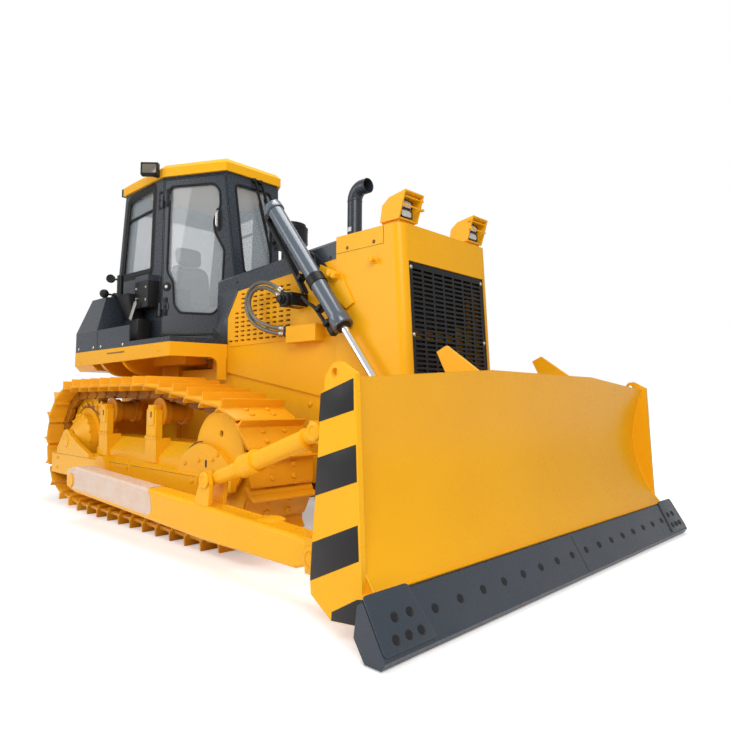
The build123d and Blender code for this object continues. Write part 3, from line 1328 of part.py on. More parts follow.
# Fixed cab glass: windshield, rear window and side windows
with BuildPart() as cab_glass:
    with BuildSketch(windshield_plane):
        add(windshield_outline.sketch)
    extrude(amount=GLASS_THICKNESS)
    with BuildSketch(rear_plane):
        add(rear_outline.sketch)
    extrude(amount=GLASS_THICKNESS)
    for side, y_sign in SIDES:
        with BuildSketch(side_plane(y_sign * (CAB_HALF_WIDTH - CAB_WALL / 2))):
            add(side_outline.sketch)
        extrude(amount=GLASS_THICKNESS / 2, both=True)
cab_glass.part.label = "cab_glass"
export_step(cab_glass.part, "parts/cab_glass.step")

# Doors: frame with the S-shaped window, handle and hinges; glass apart
with BuildPart() as door_right:
    with BuildSketch(door_plane.offset(-DOOR_THICKNESS)):
        with BuildLine():
            Polyline(*DOOR_OUTLINE, close=True)
        make_face()
        add(door_window.sketch, mode=Mode.SUBTRACT)
    extrude(amount=DOOR_THICKNESS)
    with BuildSketch(door_plane):
        with Locations((592, 2631)):
            Rectangle(26, 170)
    extrude(amount=24)
    for z in HINGE_ZS:
        with BuildSketch(door_plane):
            with Locations((4, z + HINGE_GAP / 2)):
                Rectangle(HINGE_LEAF, HINGE_HEIGHT, align=(Align.MIN, Align.MIN))
        extrude(amount=HINGE_LEAF_THICKNESS)
        with Locations((HINGE_X, -HINGE_Y, z + HINGE_GAP / 2)):
            Cylinder(HINGE_RADIUS, HINGE_HEIGHT, align=(Align.CENTER, Align.CENTER, Align.MIN))
            Cylinder(
                HINGE_PIN_RADIUS + PIN_CLEARANCE,
                HINGE_HEIGHT,
                align=(Align.CENTER, Align.CENTER, Align.MIN),
                mode=Mode.SUBTRACT,
            )
with BuildPart() as door_glass_right:
    with BuildSketch(door_plane.offset(-DOOR_THICKNESS / 2)):
        add(door_window.sketch)
    extrude(amount=GLASS_THICKNESS)
for piece, name in ((door_right, "door"), (door_glass_right, "door_glass")):
    piece.part.label = f"{name}_right"
    export_step(piece.part, f"parts/{name}_right.step")
    with BuildPart() as mirrored:
        add(mirror(piece.part, about=Plane.XZ, mode=Mode.PRIVATE))
    mirrored.part.label = f"{name}_left"
    export_step(mirrored.part, f"parts/{name}_left.step")

# Seat
SEAT_X = -1580
with BuildPart() as seat:
    with Locations((SEAT_X, 0, FLOOR_Z)):
        Box(380, 320, 240, align=(Align.CENTER, Align.CENTER, Align.MIN))
    with Locations((SEAT_X, 0, FLOOR_Z + 240)):
        Box(500, 500, 140, align=(Align.CENTER, Align.CENTER, Align.MIN))
    with BuildSketch(side_plane(0)):
        with BuildLine():
            Polyline(
                (SEAT_X - 250, FLOOR_Z + 380),
                (SEAT_X - 120, FLOOR_Z + 380),
                (SEAT_X - 220, FLOOR_Z + 1060),
                (SEAT_X - 320, FLOOR_Z + 1060),
                close=True,
            )
        make_face()
    extrude(amount=230, both=True)
seat.part.label = "seat"
export_step(seat.part, "parts/seat.step")

# Controls: side consoles with levers and the dash
with BuildPart() as controls:
    for side, y_sign in SIDES:
        with Locations((SEAT_X + 40, y_sign * 370, FLOOR_Z)):
            Box(560, 150, 480, align=(Align.CENTER, Align.CENTER, Align.MIN))
        with Locations((SEAT_X + 220, y_sign * 370, FLOOR_Z + 480)):
            Cylinder(14, 200, align=(Align.CENTER, Align.CENTER, Align.MIN))
        with Locations((SEAT_X + 220, y_sign * 370, FLOOR_Z + 690)):
            Sphere(32)
    with BuildSketch(side_plane(0)):
        with BuildLine():
            Polyline(
                (-800, FLOOR_Z),
                (-720, FLOOR_Z),
                (-720, FLOOR_Z + 560),
                (-800, FLOOR_Z + 640),
                (-900, FLOOR_Z + 560),
                close=True,
            )
        make_face()
    extrude(amount=170, both=True)
controls.part.label = "controls"
export_step(controls.part, "parts/controls.step")

# Work lamps on the roof's edge: turned outward over the doors, and small ones at the rear
DOOR_LAMP = (-1330, 712, 3086)
DOOR_LAMP_SIZE = (60, 160, 118)
DOOR_LAMP_TURN = 45
LAMP_ARM_SIZE = (50, 80, 20)
REAR_LAMP_Y = 590
REAR_LAMP_SIZE = (48, 60, 80)
ROOF_SIDE_Y = CAB_HALF_WIDTH + ROOF_OVERHANG
with BuildPart() as work_lamps:
    for side, y_sign in SIDES:
        with Locations((DOOR_LAMP[0], y_sign * ROOF_SIDE_Y, DOOR_LAMP[2] + 6)):
            Box(*LAMP_ARM_SIZE, align=(Align.CENTER, Align.MIN if y_sign > 0 else Align.MAX, Align.MIN))
        lamp_x, lamp_y, lamp_z = DOOR_LAMP
        lamp_place = Location((lamp_x, y_sign * lamp_y, lamp_z), (0, 0, y_sign * DOOR_LAMP_TURN))
        with Locations(lamp_place):
            Box(*DOOR_LAMP_SIZE, align=(Align.CENTER, Align.CENTER, Align.MIN))
        with Locations((CAB_REAR_TOP_X - ROOF_OVERHANG, y_sign * REAR_LAMP_Y, CAB_TOP_Z + 5)):
            Box(*REAR_LAMP_SIZE, align=(Align.MAX, Align.CENTER, Align.MIN))
work_lamps.part.label = "work_lamps"
export_step(work_lamps.part, "parts/work_lamps.step")

# Blade: curved moldboard, end plates, rear beams and the cylinder lugs
LUG_THICKNESS = 28
LUG_GAP = 84
FIN_Y = 548
FIN_THICKNESS = 22
FIN_OUTLINE = ((1924, 1264), (1991, 1296), (2211, 1143), (2300, 1110), (2215, 860), (2110, 900))
blade_half = END_PLATE_Y - END_PLATE_THICKNESS
BRACE_REAR = (930, 520)
BRACE_FRONT = (1878, 835)
BRACE_PIN_RADIUS = 20
BRACE_LUG_OFFSET = 50
edge_run = hypot(EDGE_HEEL[0] - MOLDBOARD_FOOT[0], EDGE_HEEL[1] - MOLDBOARD_FOOT[1])
edge_dir = ((EDGE_HEEL[0] - MOLDBOARD_FOOT[0]) / edge_run, (EDGE_HEEL[1] - MOLDBOARD_FOOT[1]) / edge_run)


def along_edge(distance, thickness):
    """Point down the cutting edge from the moldboard's foot, thickness in front of its seat."""
    return (
        MOLDBOARD_FOOT[0] + edge_dir[0] * distance - edge_dir[1] * thickness,
        MOLDBOARD_FOOT[1] + edge_dir[1] * distance + edge_dir[0] * thickness,
    )


SEAT_LENGTH = 120
EDGE_SEAT = (along_edge(SEAT_LENGTH, 0), MOLDBOARD_FOOT)
LIFTING_HOLE = (2196, 1098)
LIFTING_HOLE_RADIUS = 20
# Rear beams across the moldboard: rear x, front x, low z, high z
BLADE_BEAMS = ((2110, 2240, 170, 360), (2110, 2215, 720, 900))
with BuildPart() as blade:
    with BuildSketch(side_plane(0)):
        with BuildLine():
            ThreePointArc(MOLDBOARD_FOOT, MOLDBOARD_DEEP, MOLDBOARD_TOP)
            Line(MOLDBOARD_TOP, (MOLDBOARD_TOP[0] - MOLDBOARD_THICKNESS, BLADE_TOP_Z))
            ThreePointArc(
                (MOLDBOARD_TOP[0] - MOLDBOARD_THICKNESS, BLADE_TOP_Z),
                (MOLDBOARD_DEEP[0] - MOLDBOARD_THICKNESS, MOLDBOARD_DEEP[1]),
                (MOLDBOARD_FOOT[0] - MOLDBOARD_THICKNESS, MOLDBOARD_FOOT[1] - 20),
            )
            Polyline(
                (MOLDBOARD_FOOT[0] - MOLDBOARD_THICKNESS, MOLDBOARD_FOOT[1] - 20),
                along_edge(SEAT_LENGTH, -MOLDBOARD_THICKNESS),
                along_edge(SEAT_LENGTH, 0),
                MOLDBOARD_FOOT,
            )
        make_face()
    extrude(amount=blade_half, both=True)
    # Raised centre of the top edge
    with BuildSketch(Plane.YZ.offset(MOLDBOARD_DEEP[0] - 200)):
        with BuildLine():
            Polyline(
                (-blade_half - 10, BLADE_TOP_Z + 20),
                (-600, BLADE_TOP_Z + 20),
                (-600, BLADE_TOP_Z),
                (-blade_half - 10, BLADE_END_TOP_Z),
                close=True,
            )
        make_face()
        mirror(about=Plane.YZ)
    extrude(amount=600, mode=Mode.SUBTRACT)
    for rear_x, front_x, low_z, high_z in BLADE_BEAMS:
        with Locations((rear_x, 0, low_z)):
            Box(front_x - rear_x, 2 * blade_half, high_z - low_z, align=(Align.MIN, Align.CENTER, Align.MIN))
    for side, y_sign in SIDES:
        with BuildSketch(side_plane(y_sign * (END_PLATE_Y - END_PLATE_THICKNESS / 2))):
            with BuildLine():
                Polyline(
                    (2318, BLADE_END_TOP_Z),
                    (2112, 1017),
                    (2092, 685),
                    (2054, 239),
                    (2060, 160),
                    (2188, 80),
                    *EDGE_SEAT,
                    (2365, 225),
                    close=True,
                )
            make_face()
            with BuildLine():
                Polyline(
                    (2134, 1010),
                    (2134, 1080),
                    (2186, 1138),
                    (2226, 1143),
                    (2318, 1092),
                    (2318, 1010),
                    close=True,
                )
            make_face()
            with Locations(LIFTING_HOLE):
                Circle(LIFTING_HOLE_RADIUS, mode=Mode.SUBTRACT)
        extrude(amount=END_PLATE_THICKNESS / 2, both=True)
        # Lug pair for the cylinder rod
        for half in (-1, 1):
            with BuildSketch(side_plane(y_sign * CYLINDER_Y + half * (LUG_GAP + LUG_THICKNESS) / 2)):
                with BuildLine():
                    Polyline(
                        (ROD_PIN_X - 50, ROD_PIN_Z - 50),
                        (2170, 360),
                        (2200, 760),
                        (ROD_PIN_X - 20, ROD_PIN_Z + 60),
                        (ROD_PIN_X - 55, ROD_PIN_Z + 20),
                        close=True,
                    )
                make_face()
            extrude(amount=LUG_THICKNESS / 2, both=True)
        # Fin behind the top edge
        with BuildSketch(side_plane(y_sign * FIN_Y)):
            with BuildLine():
                Polyline(*FIN_OUTLINE, close=True)
            make_face()
        extrude(amount=FIN_THICKNESS / 2, both=True)
        # Lugs for push arm and brace
        with Locations((1830, y_sign * (ARM_OUTER_Y - ARM_WIDTH / 2), 170)):
            Box(290, ARM_WIDTH, 170, align=(Align.MIN, Align.CENTER, Align.MIN))
        for half in (-1, 1):
            with BuildSketch(side_plane(y_sign * (ARM_OUTER_Y - ARM_WIDTH / 2) + half * BRACE_LUG_OFFSET)):
                with BuildLine():
                    Polyline(
                        (BRACE_FRONT[0] - 45, BRACE_FRONT[1] - 45),
                        (2112, 740),
                        (2112, 890),
                        (BRACE_FRONT[0] - 45, BRACE_FRONT[1] + 50),
                        close=True,
                    )
                make_face()
                with Locations(BRACE_FRONT):
                    Circle(BRACE_PIN_RADIUS, mode=Mode.SUBTRACT)
            extrude(amount=12, both=True)
blade.part.label = "blade"
export_step(blade.part, "parts/blade.step")

# Cutting edge with end bits
END_BIT_REAR = ((2458, EDGE_HEEL[1]), (2400, 90))
edge_half = BLADE_WIDTH / 2
with BuildPart() as cutting_edge:
    with BuildSketch(side_plane(0)):
        with BuildLine():
            Polyline(
                along_edge(0, 0),
                along_edge(0, EDGE_THICKNESS),
                along_edge(edge_run - EDGE_THICKNESS / 2, EDGE_THICKNESS),
                along_edge(edge_run, 0),
                close=True,
            )
        make_face()
    extrude(amount=edge_half, both=True)
    for side, y_sign in SIDES:
        with BuildSketch(side_plane(y_sign * (END_PLATE_Y + (edge_half - END_PLATE_Y) / 2))):
            with BuildLine():
                Polyline(along_edge(0, 0), along_edge(edge_run, 0), *END_BIT_REAR, close=True)
            make_face()
        extrude(amount=(edge_half - END_PLATE_Y) / 2, both=True)
cutting_edge.part.label = "cutting_edge"
export_step(cutting_edge.part, "parts/cutting_edge.step")

# Push arms and braces
arm_y = ARM_OUTER_Y - ARM_WIDTH / 2
ARM_EDGE_RADIUS = 22
for side, y_sign in SIDES:
    with BuildPart() as push_arm:
        with BuildSketch(side_plane(y_sign * arm_y)):
            with BuildLine():
                Polyline(
                    (TRUNNION_X - 90, TRUNNION_Z - 60),
                    (TRUNNION_X + 60, TRUNNION_Z - 90),
                    (898, 178),
                    (1745, 174),
                    (1829, 200),
                    (1829, 320),
                    (1745, 335),
                    (898, 376),
                    (TRUNNION_X + 60, TRUNNION_Z + 108),
                    (TRUNNION_X - 90, TRUNNION_Z + 80),
                    close=True,
                )
            make_face()
        extrude(amount=ARM_WIDTH / 2, both=True)
        fillet([edge for edge in push_arm.edges() if edge.bounding_box().size.X > 60], radius=ARM_EDGE_RADIUS)
        with BuildSketch(side_plane(y_sign * arm_y)):
            with Locations((TRUNNION_X, TRUNNION_Z)):
                Circle(TRUNNION_PIN_RADIUS + PIN_CLEARANCE)
        extrude(amount=ARM_WIDTH, both=True, mode=Mode.SUBTRACT)
        # Brace bracket
        for half in (-1, 1):
            with BuildSketch(side_plane(y_sign * arm_y + half * BRACE_LUG_OFFSET)):
                with BuildLine():
                    Polyline((800, 360), (960, 355), (975, 500), (950, 565), (890, 560), close=True)
                make_face()
                with Locations(BRACE_REAR):
                    Circle(BRACE_PIN_RADIUS, mode=Mode.SUBTRACT)
            extrude(amount=12, both=True)
    push_arm.part.label = f"push_arm_{side}"
    export_step(push_arm.part, f"parts/push_arm_{side}.step")

brace_length = hypot(BRACE_FRONT[0] - BRACE_REAR[0], BRACE_FRONT[1] - BRACE_REAR[1])
brace_direction = (
    (BRACE_FRONT[0] - BRACE_REAR[0]) / brace_length,
    (BRACE_FRONT[1] - BRACE_REAR[1]) / brace_length,
)
# Columns: start and end distance along the brace, radius
BRACE_STEPS = ((-34, 60, 34), (60, 300, 42), (300, 420, 62), (420, 860, 50), (860, brace_length + 34, 34))
for side, y_sign in SIDES:
    with BuildPart() as brace:
        for start, end, radius in BRACE_STEPS:
            brace_plane = Plane(
                origin=(
                    BRACE_REAR[0] + brace_direction[0] * start,
                    y_sign * arm_y,
                    BRACE_REAR[1] + brace_direction[1] * start,
                ),
                z_dir=(brace_direction[0], 0, brace_direction[1]),
            )
            with BuildSketch(brace_plane):
                Circle(radius)
            extrude(amount=end - start)
        for end_point in (BRACE_REAR, BRACE_FRONT):
            with BuildSketch(side_plane(y_sign * arm_y)):
                with Locations(end_point):
                    Circle(BRACE_PIN_RADIUS)
            extrude(amount=BRACE_LUG_OFFSET + 18, both=True)
    brace.part.label = f"brace_{side}"
    export_step(brace.part, f"parts/brace_{side}.step")

# Cylinder brackets on the guard's sides that hold the barrels' trunnions, with the hose fittings
EAR_OFFSET = BARREL_RADIUS + EAR_CLEARANCE + EAR_THICKNESS / 2
# Outlines from the trunnion's middle: forward, up
EAR_OUTLINE = ((-60, -60), (60, -60), (212, -196), (280, -160), (157, 50), (-54, 147))
EAR_CAP = ((75, 93), (157, 50), (142, 17), (58, 57))
EAR_CAP_OUT_Y = 556
# Blocks on the machine's side: centre x, centre z, length, height, outer distance
YOKE_BLOCKS = (
    (YOKE_X - 276, YOKE_Z - 93, 115, 95, CYLINDER_Y + 44),
    (YOKE_X - 202, YOKE_Z - 335, 325, 120, CYLINDER_Y - 16),
)
HOSE_RADIUS = 16
HOSE_BEND = 0.45
HOSE_FITTING_RADIUS = 20
HOSE_FITTING_LENGTH = 62
# The outer hose's corners: x, height, distance from the machine's middle
HOSE_ROUTE = (
    (565, 1771, 612),
    (436, 1846, 610),
    (296, 1877, 605),
    (175, 1859, 600),
    (99, 1789, 595),
    (87, 1700, 590),
    (125, 1613, 580),
    (200, 1552, 570),
    (320, 1505, 558),
    (420, 1482, 548),
    (505, 1472, 541),
)
# Name of each hose and how far it runs inside the outer one
HOSES = (("hose", 0), ("hose_inner", 39))


def hose_route(inset, y_sign):
    """Corners of one hose, moved by inset towards the inside of the loop."""
    corners = []
    for index, (x, z, y) in enumerate(HOSE_ROUTE):
        before = HOSE_ROUTE[max(index - 1, 0)]
        after = HOSE_ROUTE[min(index + 1, len(HOSE_ROUTE) - 1)]
        length = hypot(after[0] - before[0], after[1] - before[1])
        shift_x = -(after[1] - before[1]) / length * inset
        shift_z = (after[0] - before[0]) / length * inset
        corners.append(Vector(x + shift_x, y_sign * y, z + shift_z))
    return corners


with BuildPart() as cylinder_yokes:
    for side, y_sign in SIDES:
        with BuildSketch(side_plane(y_sign * (CYLINDER_Y - EAR_OFFSET))):
            with BuildLine():
                Polyline(*[(YOKE_X + x, YOKE_Z + z) for x, z in EAR_OUTLINE], close=True)
            make_face()
            with Locations((YOKE_X, YOKE_Z)):
                Circle(TRUNNION_STUB_RADIUS + PIN_CLEARANCE, mode=Mode.SUBTRACT)
        extrude(amount=EAR_THICKNESS / 2, both=True)
        with BuildSketch(side_plane(y_sign * (GUARD_HALF_WIDTH + EAR_CAP_OUT_Y) / 2)):
            with BuildLine():
                Polyline(*[(YOKE_X + x, YOKE_Z + z) for x, z in EAR_CAP], close=True)
            make_face()
        extrude(amount=(EAR_CAP_OUT_Y - GUARD_HALF_WIDTH) / 2, both=True)
        for x, z, length, height, out_y in YOKE_BLOCKS:
            with Locations((x, y_sign * HOOD_HALF_WIDTH, z)):
                Box(
                    length,
                    out_y - HOOD_HALF_WIDTH,
                    height,
                    align=(Align.CENTER, Align.MIN if y_sign > 0 else Align.MAX, Align.CENTER),
                )
        for name, inset in HOSES:
            corners = hose_route(inset, y_sign)
            for end, beside in ((corners[0], corners[1]), (corners[-1], corners[-2])):
                with BuildSketch(Plane(origin=end, z_dir=end - beside)):
                    Circle(HOSE_FITTING_RADIUS)
                extrude(amount=HOSE_FITTING_LENGTH)
cylinder_yokes.part.label = "cylinder_yokes"
export_step(cylinder_yokes.part, "parts/cylinder_yokes.step")

# Lift cylinders
rest_length = hypot(ROD_PIN_X - YOKE_X, ROD_PIN_Z - YOKE_Z)
lift_direction = ((ROD_PIN_X - YOKE_X) / rest_length, (ROD_PIN_Z - YOKE_Z) / rest_length)


def on_cylinder(distance, y):
    """Plane across the cylinder's axis at a distance from the trunnion."""
    return Plane(
        origin=(YOKE_X + lift_direction[0] * distance, y, YOKE_Z + lift_direction[1] * distance),
        z_dir=(lift_direction[0], 0, lift_direction[1]),
    )


# Barrel steps: start, end, radius
BARREL_STEPS = (
    (-BARREL_TAIL, -BARREL_TAIL + 60, BARREL_RADIUS + 8),
    (-BARREL_TAIL + 60, BARREL_NOSE - 80, BARREL_RADIUS),
    (-50, 20, BARREL_RADIUS + 4),
    (BARREL_NOSE - 80, BARREL_NOSE, BARREL_RADIUS + 10),
)
for side, y_sign in SIDES:
    cylinder_y = y_sign * CYLINDER_Y
    with BuildPart() as barrel:
        for start, end, radius in BARREL_STEPS:
            with BuildSketch(on_cylinder(start, cylinder_y)):
                Circle(radius)
            extrude(amount=end - start)
        with BuildSketch(on_cylinder(-BARREL_TAIL + 30, cylinder_y)):
            Circle(BORE_RADIUS)
        extrude(amount=BARREL_TAIL + BARREL_NOSE - 60, mode=Mode.SUBTRACT)
        with BuildSketch(on_cylinder(BARREL_NOSE - 40, cylinder_y)):
            Circle(ROD_RADIUS + PIN_CLEARANCE)
        extrude(amount=50, mode=Mode.SUBTRACT)
        with BuildSketch(side_plane(cylinder_y - y_sign * (BARREL_RADIUS + EAR_OFFSET - 6) / 2)):
            with Locations((YOKE_X, YOKE_Z)):
                Circle(TRUNNION_STUB_RADIUS)
        extrude(amount=(EAR_OFFSET + 6 - BARREL_RADIUS) / 2 + 4, both=True)
    barrel.part.label = f"lift_barrel_{side}"
    export_step(barrel.part, f"parts/lift_barrel_{side}.step")

    with BuildPart() as rod:
        with BuildSketch(on_cylinder(rest_length - ROD_LENGTH, cylinder_y)):
            Circle(BORE_RADIUS - PIN_CLEARANCE)
        extrude(amount=60)
        with BuildSketch(on_cylinder(rest_length - ROD_LENGTH, cylinder_y)):
            Circle(ROD_RADIUS)
        extrude(amount=ROD_LENGTH - 50)
        with BuildSketch(side_plane(cylinder_y)):
            with Locations((ROD_PIN_X, ROD_PIN_Z)):
                Circle(62)
        extrude(amount=LUG_GAP / 2 - 6, both=True)
        with BuildSketch(side_plane(cylinder_y)):
            with Locations((ROD_PIN_X, ROD_PIN_Z)):
                Circle(ROD_PIN_RADIUS)
        extrude(amount=LUG_GAP / 2 - 6, both=True)
    rod.part.label = f"lift_rod_{side}"
    export_step(rod.part, f"parts/lift_rod_{side}.step")

# Hydraulic hoses looping beside the hood, from the block on its side to the cylinder's swivel
for side, y_sign in SIDES:
    for name, inset in HOSES:
        route = hose_route(inset, y_sign)
        radii = []
        for before, corner, after in zip(route, route[1:], route[2:]):
            turn = radians((corner - before).get_angle(after - corner))
            radii.append(HOSE_BEND * min((corner - before).length, (after - corner).length) / tan(turn / 2))
        with BuildPart() as hose:
            with BuildLine() as hose_path:
                FilletPolyline(*route, radius=radii)
            with BuildSketch(Plane(origin=route[0], z_dir=route[1] - route[0])):
                Circle(HOSE_RADIUS)
            sweep(path=hose_path.wires()[0])
        hose.part.label = f"{name}_{side}"
        export_step(hose.part, f"parts/{name}_{side}.step")
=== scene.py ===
"""Looks of a crawler bulldozer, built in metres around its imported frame.

The machine faces +X, its left side is +Y. Pieces of the right side are worked out once and mirrored.
"""

import json
import logging
import math
from dataclasses import dataclass, field, replace
from enum import Enum

import bmesh
import bpy
import numpy as np
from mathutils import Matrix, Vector


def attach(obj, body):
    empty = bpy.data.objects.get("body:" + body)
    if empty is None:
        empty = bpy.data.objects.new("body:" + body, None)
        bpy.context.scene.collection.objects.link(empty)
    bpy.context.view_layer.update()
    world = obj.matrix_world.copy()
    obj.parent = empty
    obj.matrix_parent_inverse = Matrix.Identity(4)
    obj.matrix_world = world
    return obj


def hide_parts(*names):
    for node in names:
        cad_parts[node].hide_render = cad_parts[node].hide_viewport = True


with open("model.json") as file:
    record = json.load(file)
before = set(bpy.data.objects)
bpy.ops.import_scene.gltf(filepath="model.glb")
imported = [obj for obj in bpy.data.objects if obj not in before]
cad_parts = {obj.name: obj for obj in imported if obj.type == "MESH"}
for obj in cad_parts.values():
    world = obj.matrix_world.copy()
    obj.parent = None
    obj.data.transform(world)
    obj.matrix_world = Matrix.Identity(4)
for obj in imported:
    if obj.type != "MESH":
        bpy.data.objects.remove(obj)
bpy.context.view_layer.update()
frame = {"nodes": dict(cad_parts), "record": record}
LOG = logging.getLogger("bulldozer")
Array = np.ndarray
SIDES = (("right", False), ("left", True))


class Slot(Enum):
    """Material slots of the record."""

    YELLOW = "paint_yellow"
    DARK = "paint_dark"
    TRACK = "track_paint"
    EDGE = "edge_steel"
    METAL = "dark_metal"
    GLASS = "glass"
    SEAT = "seat_fabric"
    PLASTIC = "black_plastic"
    CHROME = "chrome_rod"
    HOSE = "hose_rubber"
    LENS = "lamp_lens"


class Body(Enum):
    """Rigid bodies that new pieces ride, as the pair for the right and the left side."""

    CHASSIS = ("chassis", "chassis")
    BLADE = ("blade_assembly", "blade_assembly")
    BARREL = ("lift_barrel_right", "lift_barrel_left")
    DOOR = ("cab_door_right", "cab_door_left")


def placed(name: str, data: bpy.types.ID) -> bpy.types.Object:
    """New object of the scene that holds the data."""
    made = bpy.data.objects.new(name, data)
    bpy.context.scene.collection.objects.link(made)
    return made


def blank_material(name: str) -> tuple[bpy.types.Material, bpy.types.NodeTree]:
    """New material with its shader, and the material's tree."""
    material = bpy.data.materials.new(name)
    material.use_nodes = True
    return material, material.node_tree


def plug(tree: bpy.types.NodeTree, node: bpy.types.Node, values: dict) -> None:
    """Gives each socket of a node its number or colour, or its link from another node's output."""
    for socket, value in values.items():
        if isinstance(value, bpy.types.NodeSocket):
            tree.links.new(value, node.inputs[socket])
        else:
            node.inputs[socket].default_value = value


def add_node(tree: bpy.types.NodeTree, kind: str, values: dict,
             **settings: str | int) -> bpy.types.NodeOutputs:
    """Adds a shader node with its settings, then its socket values and links.

    Args:
        tree: tree of a material or the world.
        kind: the node's type without its prefix.
        values: for each socket a number, a colour or another node's output.
        settings: operation, data type or samples.

    Returns:
        The node's outputs.
    """
    node = tree.nodes.new(f"ShaderNode{kind}")
    for name, setting in settings.items():
        setattr(node, name, setting)
    plug(tree, node, values)
    return node.outputs


def noise(tree: bpy.types.NodeTree, scale: float, detail: float) -> bpy.types.NodeSocket:
    """Noise on the object's own coordinates, scale in features per metre."""
    place = add_node(tree, "TexCoord", {})["Object"]
    return add_node(tree, "TexNoise", {"Scale": scale, "Detail": detail, "Vector": place})["Fac"]


def stretched(tree: bpy.types.NodeTree, source: bpy.types.NodeSocket, low: float, high: float,
              least: float = 0.0, most: float = 1.0) -> bpy.types.NodeSocket:
    """The source's values between low and high spread over least to most."""
    values = {"Value": source, "From Min": low, "From Max": high, "To Min": least, "To Max": most}
    return add_node(tree, "MapRange", values)["Result"]


@dataclass(frozen=True)
class Finish:
    """A painted or moulded surface: base colour, gloss, and the size and depth of its unevenness.

    The colour wanders between two near shades with a broad noise, the roughness with a finer one,
    and a bump of fine noise over rounded edges gives sprayed or cast texture.
    """

    name: str
    slot: Slot
    colour: tuple[float, float, float]
    shade: tuple[float, float, float]
    roughness: float
    roughness_swing: float
    grain: float
    bump: float
    metallic: float = 0.0
    coat: float = 0.0
    specular: float = 0.4
    sheen: float = 0.0
    edge: float = 0.003

    def material(self) -> bpy.types.Material:
        """Builds the node material.

        Returns:
            The new material, or the one that was built before under the same name.
        """
        found = bpy.data.materials.get(self.name)
        if found:
            return found
        material, tree = blank_material(self.name)
        spread = stretched(tree, noise(tree, 1.7, 4.0), 0.38, 0.72)
        colours = {"A": (*self.colour, 1.0), "B": (*self.shade, 1.0), "Factor": spread}
        smooth = max(0.02, self.roughness - self.roughness_swing)
        rough = min(1.0, self.roughness + self.roughness_swing)
        relief = {"Strength": self.bump, "Distance": 0.002, "Height": noise(tree, self.grain * 2.5, 3.0)}
        if self.edge > 0:
            relief["Normal"] = add_node(tree, "Bevel", {"Radius": self.edge}, samples=4)["Normal"]
        plug(tree, tree.nodes["Principled BSDF"], {
            "Metallic": self.metallic,
            "Specular IOR Level": self.specular,
            "Coat Weight": self.coat,
            "Coat Roughness": 0.08,
            "Sheen Weight": self.sheen,
            "Base Color": add_node(tree, "Mix", colours, data_type="RGBA")["Result"],
            "Roughness": stretched(tree, noise(tree, self.grain, 6.0), 0.3, 0.7, smooth, rough),
            "Normal": add_node(tree, "Bump", relief)["Normal"],
        })
        return material


YELLOW = Finish("yellow enamel", Slot.YELLOW, (0.88, 0.43, 0.01), (0.85, 0.402, 0.008),
                0.3, 0.05, 60.0, 0.01, specular=0.16)
DARK = Finish("charcoal enamel", Slot.DARK, (0.03, 0.038, 0.05), (0.025, 0.032, 0.042),
              0.28, 0.05, 60.0, 0.012, specular=0.35)
# The cab's charcoal paint, lightened and blued on the barrels for the sky's reflection: painted reflection.
BARREL = Finish("charcoal cylinder enamel with painted sky reflection", Slot.DARK, (0.08, 0.105, 0.135), (0.068, 0.09, 0.118),
                0.22, 0.05, 90.0, 0.02, coat=0.5)
TRACK = Finish("yellow track paint", Slot.TRACK, (0.84, 0.375, 0.01), (0.76, 0.32, 0.008),
               0.4, 0.08, 45.0, 0.08, specular=0.2)
# Track paint darkened to brown where the links lie in the shade under the top run: painted shade.
CHAIN = Finish("yellow chain darkened with painted shade", Slot.TRACK, (0.4, 0.145, 0.006), (0.17, 0.058, 0.005),
               0.45, 0.1, 40.0, 0.06, specular=0.12)
WORN = Finish("worn yellow iron", Slot.TRACK, (0.72, 0.29, 0.008), (0.46, 0.165, 0.007),
              0.4, 0.1, 50.0, 0.06, specular=0.15)
EDGE = Finish("slate cutting edge paint", Slot.EDGE, (0.036, 0.046, 0.06), (0.05, 0.06, 0.076),
              0.32, 0.08, 40.0, 0.03, specular=0.35)
METAL = Finish("amber-brown cast iron and painted slot shadow", Slot.METAL, (0.3, 0.115, 0.018), (0.1, 0.045, 0.014),
               0.45, 0.1, 80.0, 0.2)
IRON_AND_SHADOW = Finish("dark cast iron and painted shadow", Slot.METAL, (0.04, 0.034, 0.03), (0.026, 0.023, 0.021),
              0.5, 0.1, 80.0, 0.2, metallic=0.3)
PLASTIC = Finish("black moulding", Slot.PLASTIC, (0.009, 0.009, 0.01), (0.013, 0.013, 0.014),
                 0.4, 0.06, 120.0, 0.08, specular=0.22)
RUBBER = Finish("window rubber", Slot.PLASTIC, (0.006, 0.006, 0.007), (0.01, 0.01, 0.011),
                0.5, 0.08, 150.0, 0.1, specular=0.2, edge=0.0)
STRIPE = Finish("black warning stripe", Slot.PLASTIC, (0.016, 0.015, 0.016), (0.021, 0.02, 0.02),
                0.42, 0.05, 50.0, 0.05, specular=0.2)
CHROME = Finish("chromed rod", Slot.CHROME, (0.8, 0.81, 0.83), (0.76, 0.77, 0.79),
                0.1, 0.03, 200.0, 0.01, metallic=1.0)
ZINC = Finish("zinc plated fitting", Slot.METAL, (0.46, 0.45, 0.41), (0.32, 0.31, 0.28),
              0.28, 0.08, 120.0, 0.05, metallic=0.9)
HOSE = Finish("braided hose cover", Slot.HOSE, (0.15, 0.135, 0.105), (0.06, 0.055, 0.045),
              0.3, 0.08, 300.0, 0.4, coat=0.3, edge=0.0)
LENS = Finish("lamp lens", Slot.LENS, (0.66, 0.66, 0.64), (0.54, 0.54, 0.52),
              0.1, 0.03, 120.0, 0.05, coat=0.6)
DIM_LENS = Finish("smoked lamp lens", Slot.LENS, (0.1, 0.09, 0.08), (0.22, 0.18, 0.12),
                  0.1, 0.03, 90.0, 0.2, coat=0.3)
LABEL = Finish("blank white label", Slot.PLASTIC, (0.8, 0.8, 0.79), (0.74, 0.74, 0.73),
               0.5, 0.05, 120.0, 0.02, edge=0.0)
